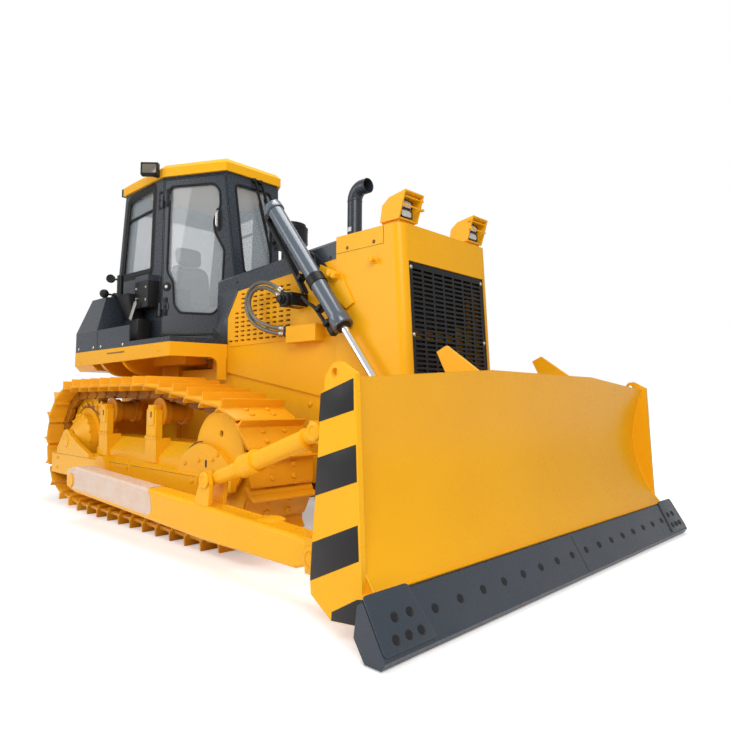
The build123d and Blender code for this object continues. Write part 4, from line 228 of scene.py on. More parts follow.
SEAT = Finish("grey seat cloth", Slot.SEAT, (0.2, 0.215, 0.235), (0.165, 0.175, 0.19),
              0.85, 0.05, 350.0, 0.5, sheen=0.3, edge=0.0)


@dataclass(frozen=True)
class ThinLayer:
    """A layer that lets part of the light through, such as glass or packing film."""

    name: str
    slot: Slot
    colour: tuple[float, float, float]
    alpha: float
    roughness: float
    coat: float
    crease: float = 0.0

    def material(self) -> bpy.types.Material:
        """Builds the node material, with creases from a bumped noise where the layer has any.

        Returns:
            The new material, or the one that was built before under the same name.
        """
        found = bpy.data.materials.get(self.name)
        if found:
            return found
        material, tree = blank_material(self.name)
        cloud = noise(tree, 7.0 if self.crease else 2.0, 6.0)
        least = self.alpha * (1.0 - 0.6 * self.crease - 0.04)
        most = min(1.0, self.alpha * (1.04 + 0.4 * self.crease))
        values = {
            "Base Color": (*self.colour, 1.0),
            "Roughness": self.roughness,
            "Coat Weight": self.coat,
            "Alpha": stretched(tree, cloud, 0.3, 0.7, least, most),
        }
        if self.crease:
            relief = {"Strength": self.crease, "Distance": 0.004, "Height": cloud}
            values["Normal"] = add_node(tree, "Bump", relief)["Normal"]
        plug(tree, tree.nodes["Principled BSDF"], values)
        return material


GLASS = ThinLayer("cab glass", Slot.GLASS, (0.5, 0.56, 0.6), 0.34, 0.03, 0.6)
FILM = ThinLayer("packing film", Slot.PLASTIC, (0.88, 0.84, 0.82), 0.38, 0.25, 0.0, crease=0.18)
NODE_FINISHES = {
    finish.slot: finish
    for finish in (YELLOW, DARK, TRACK, EDGE, METAL, GLASS, SEAT, PLASTIC, CHROME, HOSE, LENS)
}


def unit(vectors: Array) -> Array:
    """Vectors scaled to length one along the last axis."""
    return vectors / np.linalg.norm(vectors, axis=-1, keepdims=True)


def full_turn(sides: int) -> Array:
    """Angles evenly spaced round a circle, the first one zero."""
    return np.linspace(0, 2 * math.pi, sides, endpoint=False)


def points_of(x: Array, y: Array, z: Array) -> Array:
    """Points in space from coordinates that spread over one another's rows and columns."""
    return np.stack(np.broadcast_arrays(x, y, z), axis=-1)


@dataclass
class Shell:
    """A closed surface: its points, its four-sided faces and its many-sided end caps."""

    points: Array
    quads: Array
    caps: list[Array] = field(default_factory=list)

    def copied(self, origins: Array, turns: Array) -> "Shell":
        """Copies of the surface as one: a point p becomes origin + turn p for each origin and turn.

        Args:
            origins: one place for each copy.
            turns: one rotation matrix for each copy, or a single one for all.

        Returns:
            All the copies.
        """
        origins = np.asarray(origins, float)
        turns = np.broadcast_to(turns, (len(origins), 3, 3))
        points = np.einsum("kij,nj->kni", turns, self.points) + origins[:, None, :]
        shift = np.arange(len(origins)) * len(self.points)
        quads = (self.quads[None] + shift[:, None, None]).reshape(-1, 4)
        caps = [cap + step for cap in self.caps for step in shift]
        return Shell(points.reshape(-1, 3), quads, caps)

    def mirrored(self) -> "Shell":
        """The same surface on the machine's other side."""
        return Shell(self.points * (1, -1, 1), self.quads[:, ::-1], [cap[::-1] for cap in self.caps])


@dataclass(frozen=True)
class Place:
    """A flat place in space: an origin and two directions along it; the third points out of it."""

    origin: tuple[float, float, float]
    across: tuple[float, float, float]
    up: tuple[float, float, float]

    @property
    def matrix(self) -> Array:
        """Rotation whose columns are across, up and out."""
        across, up = unit(np.array(self.across, float)), unit(np.array(self.up, float))
        return np.stack([across, up, np.cross(across, up)], axis=1)

    def lift(self, u: Array, v: Array, w: Array) -> Array:
        """Points at origin + u across + v up + w out."""
        local = points_of(u, v, w).astype(float)
        return local @ self.matrix.T + np.array(self.origin)

    def at(self, u: float, v: float, w: float = 0.0) -> "Place":
        """The same place moved along its own directions."""
        return replace(self, origin=tuple(self.lift(u, v, w)))


def right_side(y: float, x: float = 0.0, z: float = 0.0) -> Place:
    """Upright place on the machine's right side at distance y from its middle, facing outward."""
    return Place((x, -y, z), (1, 0, 0), (0, 0, 1))


def front_face(x: float, y: float = 0.0, z: float = 0.0, lean: float = 0.0) -> Place:
    """Upright place that faces forward at x, its top leaning back by lean."""
    return Place((x, y, z), (0, 1, 0), (-lean, 0, 1))


def flat_place(x: float, y: float, z: float) -> Place:
    """Level place that faces up."""
    return Place((x, y, z), (1, 0, 0), (0, 1, 0))


ORIGIN = flat_place(0.0, 0.0, 0.0)


def lofted(rings: Array, looped: bool = False) -> Shell:
    """Surface through rings of points, each closed round, joined row by row.

    Args:
        rings: rows by columns by 3.
        looped: the last ring joins the first one; otherwise both ends get a cap.

    Returns:
        The closed surface.
    """
    rows, columns = rings.shape[:2]
    numbers = np.arange(rows * columns).reshape(rows, columns)
    before, after = (numbers, np.roll(numbers, -1, axis=0)) if looped else (numbers[:-1], numbers[1:])
    quads = np.stack([before, np.roll(before, -1, 1), np.roll(after, -1, 1), after], axis=-1).reshape(-1, 4)
    caps = [] if looped else [numbers[0][::-1], numbers[-1]]
    return Shell(rings.reshape(-1, 3), quads, caps)


def rounded(outline: tuple, radius: float, steps: int = 4) -> Array:
    """Outline with rounded corners: at corner c the curve (1-t)(1-t) a + 2 t (1-t) c + t t b.

    Args:
        outline: corners in order.
        radius: how far from a corner its curve begins, at most 0.48 of an edge.
        steps: points on each curve.

    Returns:
        The points of the closed outline.
    """
    corners = np.asarray(outline, float)
    curve_ends = []
    for side in (1, -1):
        edge = np.roll(corners, side, 0) - corners
        length = np.linalg.norm(edge, axis=1, keepdims=True)
        curve_ends.append(corners + edge / length * np.minimum(radius, 0.48 * length))
    t = np.linspace(0, 1, steps)[None, :, None]
    start, end = curve_ends[0][:, None], curve_ends[1][:, None]
    return ((1 - t) ** 2 * start + 2 * t * (1 - t) * corners[:, None] + t**2 * end).reshape(-1, 2)


def rectangle(width: float, height: float, radius: float, steps: int = 4) -> Array:
    """Rounded rectangle about its middle."""
    w, h = width / 2, height / 2
    return rounded(((-w, -h), (w, -h), (w, h), (-w, h)), radius, steps)


def circle(radius: float, sides: int = 24) -> Array:
    """Points round a circle."""
    angle = full_turn(sides)
    return radius * np.column_stack([np.cos(angle), np.sin(angle)])


def miters(outline: Array) -> Array:
    """For each corner, the vector (a + b) / (1 + a.b) of its edges' outward normals a and b."""
    ahead = unit(np.roll(outline, -1, 0) - outline)
    following = np.roll(outline, -1, 0)
    turn = np.sign(np.sum(outline[:, 0] * following[:, 1] - outline[:, 1] * following[:, 0]))
    normal = turn * np.stack([ahead[:, 1], -ahead[:, 0]], axis=1)
    before = np.roll(normal, 1, 0)
    return (normal + before) / np.maximum(0.4, 1 + np.sum(normal * before, axis=1, keepdims=True))


def slab(outline: Array, depth: float, edge: float, place: Place, low: float = 0.0) -> Shell:
    """Plate of an outline with eased edges: the outline drawn in by a quarter round at both faces.

    Args:
        outline: closed outline in the place's plane.
        depth: thickness, outward from low.
        edge: size of the eased edge.
        place: where the outline lies.
        low: distance of the inner face from the place.

    Returns:
        The plate.
    """
    outline = np.asarray(outline, float)
    drawn_in = edge * np.array([1.0, 0.3, 0.0, 0.0, 0.3, 1.0])
    height = low + np.array([0.0, 0.3 * edge, edge, depth - edge, depth - 0.3 * edge, depth])
    flat = outline[None] - drawn_in[:, None, None] * miters(outline)[None]
    return lofted(place.lift(flat[..., 0], flat[..., 1], height[:, None]))


def band(outline: Array, place: Place, width: float, proud: float, sides: int = 8, low: float = 0.0) -> Shell:
    """Bead round a closed outline: an ellipse of width by proud carried along the outline.

    Args:
        outline: closed outline in the place's plane.
        place: where the outline lies.
        width: bead's width in the plane.
        proud: bead's height out of the plane, on both sides of low.
        sides: points round the ellipse.
        low: distance of the ellipse's middle from the place.

    Returns:
        The closed bead.
    """
    angle = full_turn(sides)
    flat = outline[:, None] + (width / 2 * np.cos(angle))[None, :, None] * miters(outline)[:, None]
    rise = low + proud * np.sin(angle)[None, :]
    return lofted(place.lift(flat[..., 0], flat[..., 1], rise), looped=True)


def turned(profile: tuple, place: Place, sides: int = 24) -> Shell:
    """Turned piece: a profile of heights and radii carried round the place's outward axis.

    Args:
        profile: pairs of height and radius.
        place: its origin is on the axis.
        sides: points round the axis.

    Returns:
        The turned piece, capped at both ends.
    """
    steps = np.asarray(profile, float)
    angle = full_turn(sides)
    return lofted(place.lift(steps[:, 1:] * np.cos(angle), steps[:, 1:] * np.sin(angle), steps[:, :1]))


def eased(points: tuple, rounds: int = 3) -> Array:
    """Path with its corners cut, run by run, at one and three quarters, ends kept."""
    path = np.asarray(points, float)
    for _ in range(rounds):
        first, second = path[:-1], path[1:]
        cut = np.stack([0.75 * first + 0.25 * second, 0.25 * first + 0.75 * second], axis=1)
        path = np.vstack([path[:1], cut.reshape(-1, 3), path[-1:]])
    return path


def pipe(path: Array, section: Array, hint: tuple = (0, 1, 0)) -> Shell:
    """Section carried along an open path: point + u side + v rise, side square to path and hint.

    Args:
        path: points in order.
        section: closed outline across the path.
        hint: a direction that the path never follows.

    Returns:
        The bar or tube, capped at both ends.
    """
    path = np.asarray(path, float)
    along = unit(np.gradient(path, axis=0))
    side = unit(np.cross(along, np.asarray(hint, float)))
    rise = np.cross(side, along)
    rings = path[:, None] + section[None, :, :1] * side[:, None] + section[None, :, 1:] * rise[:, None]
    return lofted(rings)


def bolt_heads(spots: Array, turn: Array, radius: float, height: float, detail: bool = True) -> Shell:
    """Hexagonal heads on washers: the radius at angle a is r cos 30 / cos(a mod 60 - 30).

    Args:
        spots: places of the heads.
        turn: rotation whose last column points out, one or one for each spot.
        radius: across the corners, half.
        height: of the head.
        detail: with a washer and twelve sides; otherwise six sides.

    Returns:
        All the heads.
    """
    sides = 12 if detail else 6
    angle = full_turn(sides)
    hexagon = radius * math.cos(math.pi / 6) / np.cos(np.mod(angle, math.pi / 3) - math.pi / 6)
    washer = np.full(sides, 1.3 * radius)
    if detail:
        rings = ((washer, 0), (washer, 0.2), (hexagon, 0.2), (hexagon, 0.85), (0.82 * hexagon, 1))
    else:
        rings = ((hexagon * 1.1, 0), (hexagon, 0.75), (0.75 * hexagon, 1))
    outlines = [points_of(r * np.cos(angle), r * np.sin(angle), h * height) for r, h in rings]
    return lofted(np.array(outlines)).copied(spots, turn)


def on_place(place: Place, spots: tuple) -> Array:
    """Points in space of (u, v) spots on a place."""
    return place.lift(*np.asarray(spots, float).T, 0.0)


def bolted(place: Place, spots: tuple, radius: float, height: float) -> Shell:
    """Hexagonal heads at (u, v) spots of a place."""
    return bolt_heads(on_place(place, spots), place.matrix, radius, height)


def seam(place: Place, line: tuple) -> Shell:
    """Thin strip along the joint of two sheets, through (u, v) spots of a place."""
    return pipe(on_place(place, line), rectangle(0.0016, 0.004, 0.0006, 2))


def build(name: str, shells: list[Shell], finish: Finish | ThinLayer, body: Body = Body.CHASSIS,
          replaces: tuple[str, ...] = (), crease: float = 38.0,
          side: int = 0) -> bpy.types.Object:
    """Joins surfaces into one mesh, dresses it and sets it riding.

    Args:
        name: piece's name.
        shells: its surfaces.
        finish: its finish.
        body: pair of bodies, of which it rides one.
        replaces: nodes that it stands for.
        crease: edges sharper than this angle stay hard.
        side: 0 for the pair's right body, 1 for its left one.

    Returns:
        The object.
    """
    starts = np.cumsum([0] + [len(shell.points) for shell in shells[:-1]])
    faces = []
    for shell, start in zip(shells, starts):
        faces += (shell.quads + start).tolist()
        faces += [(cap + start).tolist() for cap in shell.caps]
    mesh = bpy.data.meshes.new(name)
    mesh.from_pydata(np.vstack([shell.points for shell in shells]).tolist(), [], faces)
    shape = bmesh.new()
    shape.from_mesh(mesh)
    bmesh.ops.recalc_face_normals(shape, faces=shape.faces)
    shape.to_mesh(mesh)
    shape.free()
    mesh.polygons.foreach_set("use_smooth", np.ones(len(mesh.polygons), bool))
    mesh.set_sharp_from_angle(angle=math.radians(crease))
    mesh.materials.append(finish.material())
    piece = placed(name, mesh)
    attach(piece, body.value[side])
    if replaces:
        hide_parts(*replaces)
    LOG.info("%s: %d faces", name, len(faces))
    return piece


def build_pair(name: str, shells: list[Shell], finish: Finish | ThinLayer, body: Body = Body.CHASSIS,
               replaces: tuple[str, ...] = (), crease: float = 38.0) -> None:
    """Builds the right side's surfaces and their mirror image on the left.

    Args:
        name: piece's name without its side.
        shells: surfaces on the right.
        finish: their finish.
        body: pair of bodies.
        replaces: names without side of the nodes that they stand for.
        crease: edges sharper than this angle stay hard.
    """
    for index, (side, flip) in enumerate(SIDES):
        chosen = [shell.mirrored() if flip else shell for shell in shells]
        stands_for = tuple(f"{node}_{side}" for node in replaces)
        build(f"{name}_{side}", chosen, finish, body, stands_for, crease, index)


@dataclass
class Studio:
    """Camera, lamps, world and floor. The camera stands where the photograph's camera stood."""

    place: tuple[float, float, float] = (4.071, -3.367, 0.978)
    yaw: float = 134.06
    pitch: float = 3.39
    roll: float = 0.36
    lens: float = 30.28
    floor_size: float = 60.0
    gloss_share: float = 0.55
    lamp_target: tuple[float, float, float] = (0.6, -0.3, 1.0)
    # Columns: name, place, size, power in watts
    lamp_table: tuple = (
        ("key", (6.5, -5.5, 5.5), 4.5, 460.0),
        ("fill", (-4.0, -8.0, 4.0), 4.5, 230.0),
        ("top", (0.5, 0.0, 8.5), 5.0, 430.0),
    )

    def build(self) -> None:
        """Makes the camera, the soft lamps, the pale world and the floor."""
        self.camera()
        self.lamps()
        self.world()
        self.floor()

    def camera(self) -> None:
        """Camera from its yaw, pitch and roll."""
        data = bpy.data.cameras.new("camera")
        data.lens = self.lens
        data.sensor_width = 36.0
        data.clip_end = 200.0
        camera = placed("camera", data)
        yaw, pitch, roll = (math.radians(value) for value in (self.yaw, self.pitch, self.roll))
        forward = Vector((math.cos(pitch) * math.cos(yaw), math.cos(pitch) * math.sin(yaw), math.sin(pitch)))
        right = forward.cross(Vector((0, 0, 1))).normalized()
        up = right.cross(forward)
        right, up = right * math.cos(roll) + up * math.sin(roll), up * math.cos(roll) - right * math.sin(roll)
        matrix = camera.matrix_world.copy()
        for row in range(3):
            matrix[row][0], matrix[row][1], matrix[row][2] = right[row], up[row], -forward[row]
            matrix[row][3] = self.place[row]
        camera.matrix_world = matrix
        bpy.context.scene.camera = camera

    def lamps(self) -> None:
        """A large soft key from the front right, a weaker fill and a top light."""
        for name, place, size, power in self.lamp_table:
            data = bpy.data.lights.new(name, "AREA")
            data.size = size
            data.energy = power
            lamp = placed(name, data)
            lamp.location = place
            aim = Vector(self.lamp_target) - Vector(place)
            lamp.rotation_euler = aim.to_track_quat("-Z", "Y").to_euler()

    def seen(self, tree: bpy.types.NodeTree) -> bpy.types.NodeSocket:
        """One where a ray is seen directly or through glass, less where it is seen in gloss.

        Args:
            tree: tree of the world or the floor.

        Returns:
            The socket with the value.
        """
        rays = add_node(tree, "LightPath", {})
        direct = {0: rays["Is Camera Ray"], 1: rays["Is Transmission Ray"]}
        gloss = {0: rays["Is Glossy Ray"], 1: self.gloss_share}
        either = {
            0: add_node(tree, "Math", direct, operation="MAXIMUM")[0],
            1: add_node(tree, "Math", gloss, operation="MULTIPLY")[0],
        }
        return add_node(tree, "Math", either, operation="MAXIMUM")[0]

    def world(self) -> None:
        """Pale light from all sides, pure white where it is seen."""
        world = bpy.data.worlds.new("studio")
        bpy.context.scene.world = world
        world.use_nodes = True
        tree = world.node_tree
        strength = stretched(tree, self.seen(tree), 0.0, 1.0, 0.27, 1.0)
        plug(tree, tree.nodes["Background"], {"Color": (1.0, 1.0, 1.0, 1.0), "Strength": strength})

    def floor(self) -> None:
        """A wide floor just under the grousers, white where it is seen except for the machine's shadow."""
        half, low = self.floor_size / 2, -0.001
        mesh = bpy.data.meshes.new("floor")
        corners = [(-half, -half, low), (half, -half, low), (half, half, low), (-half, half, low)]
        mesh.from_pydata(corners, [], [(0, 1, 2, 3)])
        floor = placed("floor", mesh)
        material, tree = blank_material("studio floor")
        place = add_node(tree, "TexCoord", {})["Object"]
        distance = add_node(tree, "VectorMath", {0: place}, operation="LENGTH")["Value"]
        share = {0: self.seen(tree), 1: stretched(tree, distance, 3.0, 6.0, 0.38, 1.0)}
        plug(tree, tree.nodes["Principled BSDF"], {
            "Base Color": (0.9, 0.9, 0.9, 1.0),
            "Roughness": 1.0,
            "Specular IOR Level": 0.0,
            "Emission Color": (1.0, 1.0, 1.0, 1.0),
            "Emission Strength": add_node(tree, "Math", share, operation="MULTIPLY")[0],
        })
        mesh.materials.append(material)


@dataclass
class Paintwork:
    """Gives every node of the frame the finish of its slot."""

    # Nodes with another finish than their slot's: name without side, finish
    special: tuple = (
        # Barrels: charcoal paint with painted sky reflection
        ("lift_barrel", BARREL),
        ("radiator", IRON_AND_SHADOW),
        ("carrier_rollers", WORN),
        ("engine_block", IRON_AND_SHADOW),
    )

    def dress(self) -> None:
        """Puts the finish of each node's slot on its mesh."""
        slots = {entry["node"]: entry["material_slot"] for entry in frame["record"]["subparts"]}
        for name, node in frame["nodes"].items():
            slot = Slot(slots[name])
            finish = NODE_FINISHES[slot]
            for start, other in self.special:
                if name in (start, f"{start}_right", f"{start}_left"):
                    finish = other
            node.data.materials.clear()
            node.data.materials.append(finish.material())
            LOG.info("painted %s as %s", name, slot.value)


@dataclass
class Hoses:
    """The four hydraulic hoses, as smooth curves along the routes of their solids."""

    radius: float = 0.016
    route: tuple = (
        (0.565, 0.612, 1.771), (0.436, 0.61, 1.846), (0.296, 0.605, 1.877), (0.175, 0.6, 1.859),
        (0.099, 0.595, 1.789), (0.087, 0.59, 1.7), (0.125, 0.58, 1.613), (0.2, 0.57, 1.552),
        (0.32, 0.558, 1.505), (0.42, 0.548, 1.482), (0.505, 0.541, 1.472),
    )
    # Each hose of a side: name, how far it lies inside the outer one's loop
    insets: tuple = (("hose", 0.0), ("hose_inner", 0.039))

    def corners(self, inset: float) -> Array:
        """Route moved by inset square to its own direction, towards the inside of the loop."""
        points = np.array(self.route)
        ahead = np.vstack([points[1:], points[-1:]]) - np.vstack([points[:1], points[:-1]])
        flat = unit(ahead[:, [0, 2]])
        return points + inset * points_of(-flat[:, 1], 0.0, flat[:, 0])

    def build(self) -> None:
        for name, inset in self.insets:
            for side, sign in (("right", -1.0), ("left", 1.0)):
                corners = self.corners(inset) * (1, sign, 1)
                data = bpy.data.curves.new(f"{name}_line_{side}", "CURVE")
                data.dimensions = "3D"
                data.bevel_depth = self.radius
                data.bevel_resolution = 4
                data.resolution_u = 12
                data.use_fill_caps = True
                spline = data.splines.new("NURBS")
                spline.points.add(len(corners) - 1)
                spline.points.foreach_set("co", np.column_stack([corners, np.ones(len(corners))]).ravel())
                spline.order_u = 3
                spline.use_endpoint_u = True
                hose = placed(f"{name}_line_{side}", data)
                data.materials.append(HOSE.material())
                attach(hose, Body.CHASSIS.value[0])
                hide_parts(f"{name}_{side}")


@dataclass
class Tracks:
    """Track chains with separate shoes: plates with a grouser, link plates, bosses, bushings and bolts."""

    middle: float = 0.94
    width: float = 0.51
    count: int = 37
    above_pin: float = 0.062
    rail_offset: float = 0.085
    rail_thickness: float = 0.042
    # Columns: x, z, radius of each wheel under the pins
    wheels: tuple = (
        (-1.865, 0.6, 0.44),
        (-1.205, 0.885, 0.158),
        (-0.355, 0.885, 0.158),
        (0.58, 0.507, 0.385),
        (0.15, 0.272, 0.15),
        (-1.51, 0.272, 0.15),
    )
    # A shoe from the side: share of the pitch, height over the pins
    shoe: tuple = (
        (-0.07, 0.018), (-0.035, 0.033), (0.005, 0.046), (0.04, 0.058), (0.085, 0.063), (0.105, 0.118),
        (0.112, 0.122), (0.158, 0.122), (0.165, 0.117), (0.205, 0.066), (0.24, 0.062), (0.9, 0.062),
        (0.97, 0.06), (1.01, 0.054), (1.000, 0.048), (0.9, 0.041), (0.11, 0.041), (0.06, 0.038),
        (0.015, 0.029), (-0.03, 0.015), (-0.06, 0.006),
    )
    link: tuple = (
        (0.075, -0.05), (0.925, -0.05), (0.985, -0.012), (0.985, 0.041), (0.015, 0.041), (0.015, -0.012),
    )
    # Pin's end boss: height over the rail, radius
    boss: tuple = (
        (-0.004, 0.036), (0.006, 0.036), (0.009, 0.033), (0.009, 0.022), (0.013, 0.021), (0.013, 0.006),
    )
    bushing_radius: float = 0.03
    bolt_rows: tuple[float, float] = (0.36, 0.74)

    def pins(self) -> Array:
        """Evenly spaced points on the belt round the wheels, run clockwise.

        Returns:
            One (x, z) for each pin.
        """
        wheels = np.array(self.wheels)
        following = np.roll(wheels, -1, 0)
        run = following - wheels
        lean = np.arctan2(run[:, 1], run[:, 0]) + math.pi / 2
        normal = lean - np.arcsin((wheels[:, 2] - following[:, 2]) / np.hypot(run[:, 0], run[:, 1]))
        start = np.roll(normal, 1)
        turn = np.mod(start - normal, 2 * math.pi)
        share = np.linspace(0, 1, 120)
        angle = start[:, None] - turn[:, None] * share
        rim = wheels[:, None, :2] + wheels[:, None, 2:] * np.stack([np.cos(angle), np.sin(angle)], axis=-1)
        line = rim.reshape(-1, 2)
        line = np.vstack([line, line[:1]])
        length = np.concatenate([[0], np.cumsum(np.linalg.norm(np.diff(line, axis=0), axis=1))])
        at = np.arange(self.count) * length[-1] / self.count
        return np.column_stack([np.interp(at, length, column) for column in line.T])

    def steps(self) -> tuple[Array, Array, float]:
        """Place and turn of each link.

        Returns:
            Pin places on the right side, rotations with the link's direction, its height and the
            machine's side as columns, and the pitch.
        """
        pins = self.pins()
        run = np.roll(pins, -1, 0) - pins
        pitch = float(np.linalg.norm(run, axis=1).mean())
        along = unit(run)
        forward = points_of(along[:, 0], 0.0, along[:, 1])
        height = points_of(-along[:, 1], 0.0, along[:, 0])
        turns = np.stack([forward, height, np.cross(forward, height)], axis=2)
        origins = points_of(pins[:, 0], -self.middle, pins[:, 1])
        return origins, turns, pitch

    def build(self) -> None:
        """Makes shoes, links and bolts of both tracks."""
        origins, turns, pitch = self.steps()
        plate = slab(np.array(self.shoe) * (pitch, 1), self.width, 0.003, ORIGIN, -self.width / 2)
        share = plate.points[:, 0] / pitch
        narrowing = np.clip((share - 0.72) / 0.26, 0, 1) ** 2 * 0.075
        plate.points[:, 2] *= 1 - narrowing
        build_pair("track_shoes", [plate.copied(origins, turns)], TRACK, replaces=("track",), crease=30.0)
        link = rounded(np.array(self.link) * (pitch, 1), 0.014, 2)
        half, radius = self.rail_thickness / 2, self.bushing_radius
        parts = []
        for out in (-1.0, 1.0):
            offset = out * self.rail_offset
            parts.append(slab(link, self.rail_thickness, 0.003, ORIGIN, offset - half))
            parts.append(turned(self.boss, Place((0, 0, offset + out * half), (out, 0, 0), (0, 1, 0)), 12))
        bushing = ((0.0, radius), (2 * self.rail_offset, radius))
        parts.append(turned(bushing, ORIGIN.at(0, 0, -self.rail_offset), 12))
        # The links carry the chain finish, darkened with painted shade.
        build_pair("track_links", [part.copied(origins, turns) for part in parts], CHAIN)
        height, beside = self.above_pin - 0.001, self.rail_offset
        spots = [(x * pitch, height, z) for x in self.bolt_rows for z in (-beside, beside)]
        level = np.array([(1.0, 0, 0), (0, 0, -1.0), (0, 1.0, 0)]).T
        heads = bolt_heads(spots, level, 0.019, 0.014, detail=False)
        build_pair("shoe_bolts", [heads.copied(origins, turns)], TRACK)


@dataclass
class Undercarriage:
    """Bolts, caps and cover plates of the track frames, final drives and idlers, and painted shadow in their
    dark gaps.
    """

    hub: tuple[float, float] = (-1.865, 0.6)
    sprocket_face: float = 0.985
    guard_face: float = 1.19
    housing_face: float = 1.15
    post_face: float = 1.12
    hub_face: float = 1.06
    idler: tuple[float, float, float] = (0.556, 1.109, 0.629)
    posts: tuple[float, float] = (-1.228, -0.371)

    def build(self) -> None:
        """Makes the pieces of both sides."""
        self.hub_bolts()
        self.plates()
        self.shadow_gaps()

    def ring(self, radius: float, count: int) -> Array:
        """Spots round the hub."""
        return circle(radius, count) + np.array(self.hub)

    def hub_bolts(self) -> None:
        """Bolt rings of the sprocket and its hub, the bearing's cap and the recessed ring."""
        sprocket, hub, guard = (right_side(y) for y in (self.sprocket_face, self.hub_face, self.guard_face))
        cap = ((0.0, 0.058), (0.004, 0.058), (0.007, 0.05), (0.007, 0.02))
        shells = [
            bolted(sprocket, self.ring(0.345, 18), 0.021, 0.016),
            bolted(hub, self.ring(0.236, 16), 0.013, 0.012),
            bolted(guard, ((-1.911, 0.618),), 0.014, 0.01),
            turned(cap, guard.at(*self.hub)),
        ]
        build_pair("drive_bolts", shells, YELLOW)
        build_pair("drive_recess", [band(self.ring(0.318, 48), sprocket, 0.044, 0.003)], METAL)

    def plates(self) -> None:
        """Bolts and cover plates of the side guard, posts and idler housing, and the idler's rim."""
        guard, housing, post = (right_side(y) for y in (self.guard_face, self.housing_face, self.post_face))
        guard_spots = (
            (-2.05, 0.345), (-2.05, 0.435), (-0.609, 0.452), (-0.604, 0.345), (0.36, 0.345), (0.36, 0.44),
        )
        housing_spots = ((0.375, 0.577), (0.544, 0.592), (0.603, 0.629), (0.2, 0.545))
        post_spots = [(x + step, 0.7) for x in self.posts for step in (-0.066, -0.03, 0.03, 0.066)]
        shells = [
            bolted(guard, guard_spots, 0.013, 0.011),
            bolted(housing, housing_spots, 0.014, 0.012),
            bolted(post, post_spots, 0.01, 0.009),
        ]
        flange = rectangle(0.184, 0.02, 0.006, 3)
        shield = (
            (-0.052, -0.075), (0.052, -0.075), (0.052, 0.04), (0.034, 0.075), (-0.034, 0.075), (-0.052, 0.04),
        )
        for x in self.posts:
            shells.append(slab(flange, 0.006, 0.002, post.at(x, 0.69)))
            shells.append(slab(rounded(shield, 0.012, 3), 0.008, 0.003, post.at(x, 0.862)))
        # Columns: width, height, corner radius, thickness, eased edge, place
        covers = (
            (0.15, 0.1, 0.014, 0.008, 0.003, housing.at(0.48, 0.48)),
            (0.02, 0.18, 0.004, 0.006, 0.002, guard.at(-0.56, 0.392)),
        )
        shells += [slab(rectangle(*cover[:3]), *cover[3:]) for cover in covers]
        x, y, z = self.idler
        shells.append(band(circle(0.268, 64), right_side(y, x, z), 0.01, 0.004))
        build_pair("frame_fittings", shells, YELLOW)

    def shadow_gaps(self) -> None:
        """Painted shadow: dark plates in the posts' slots and the housing's pocket, a dark line along the
        housing's curved rim, and the dark line of the guard's joint.
        """
        # Thin dark plates standing for the shade inside the posts' slots and the housing's pocket: painted
        # shadow.
        slot = rectangle(0.018, 0.046, 0.008)
        head = right_side(self.post_face + 0.008, 0.012, 0.868)
        shells = [slab(slot, 0.0016, 0.0005, head.at(x, 0)) for x in self.posts]
        pocket = rectangle(0.022, 0.05, 0.009)
        shells.append(slab(pocket, 0.0016, 0.0005, right_side(self.housing_face, 0.465, 0.56)))
        joint = right_side(self.guard_face + 0.0005)
        shells.append(seam(joint, ((-2.16, 0.4735), (-1.3, 0.4735), (0.4, 0.4735))))
        # The housing's curved rim, a painted shadow line: forward evenly, up by a quarter of a sine wave
        arc = np.linspace(0, 1, 16)
        rim = right_side(self.housing_face - 0.012)
        edge = rim.lift(0.092 + 0.3 * arc, 0.545 + 0.155 * np.sin(arc * math.pi / 2), 0.0)
        shells.append(pipe(edge, circle(0.004, 8)))
        build_pair("frame_shadow_gaps", shells, IRON_AND_SHADOW)


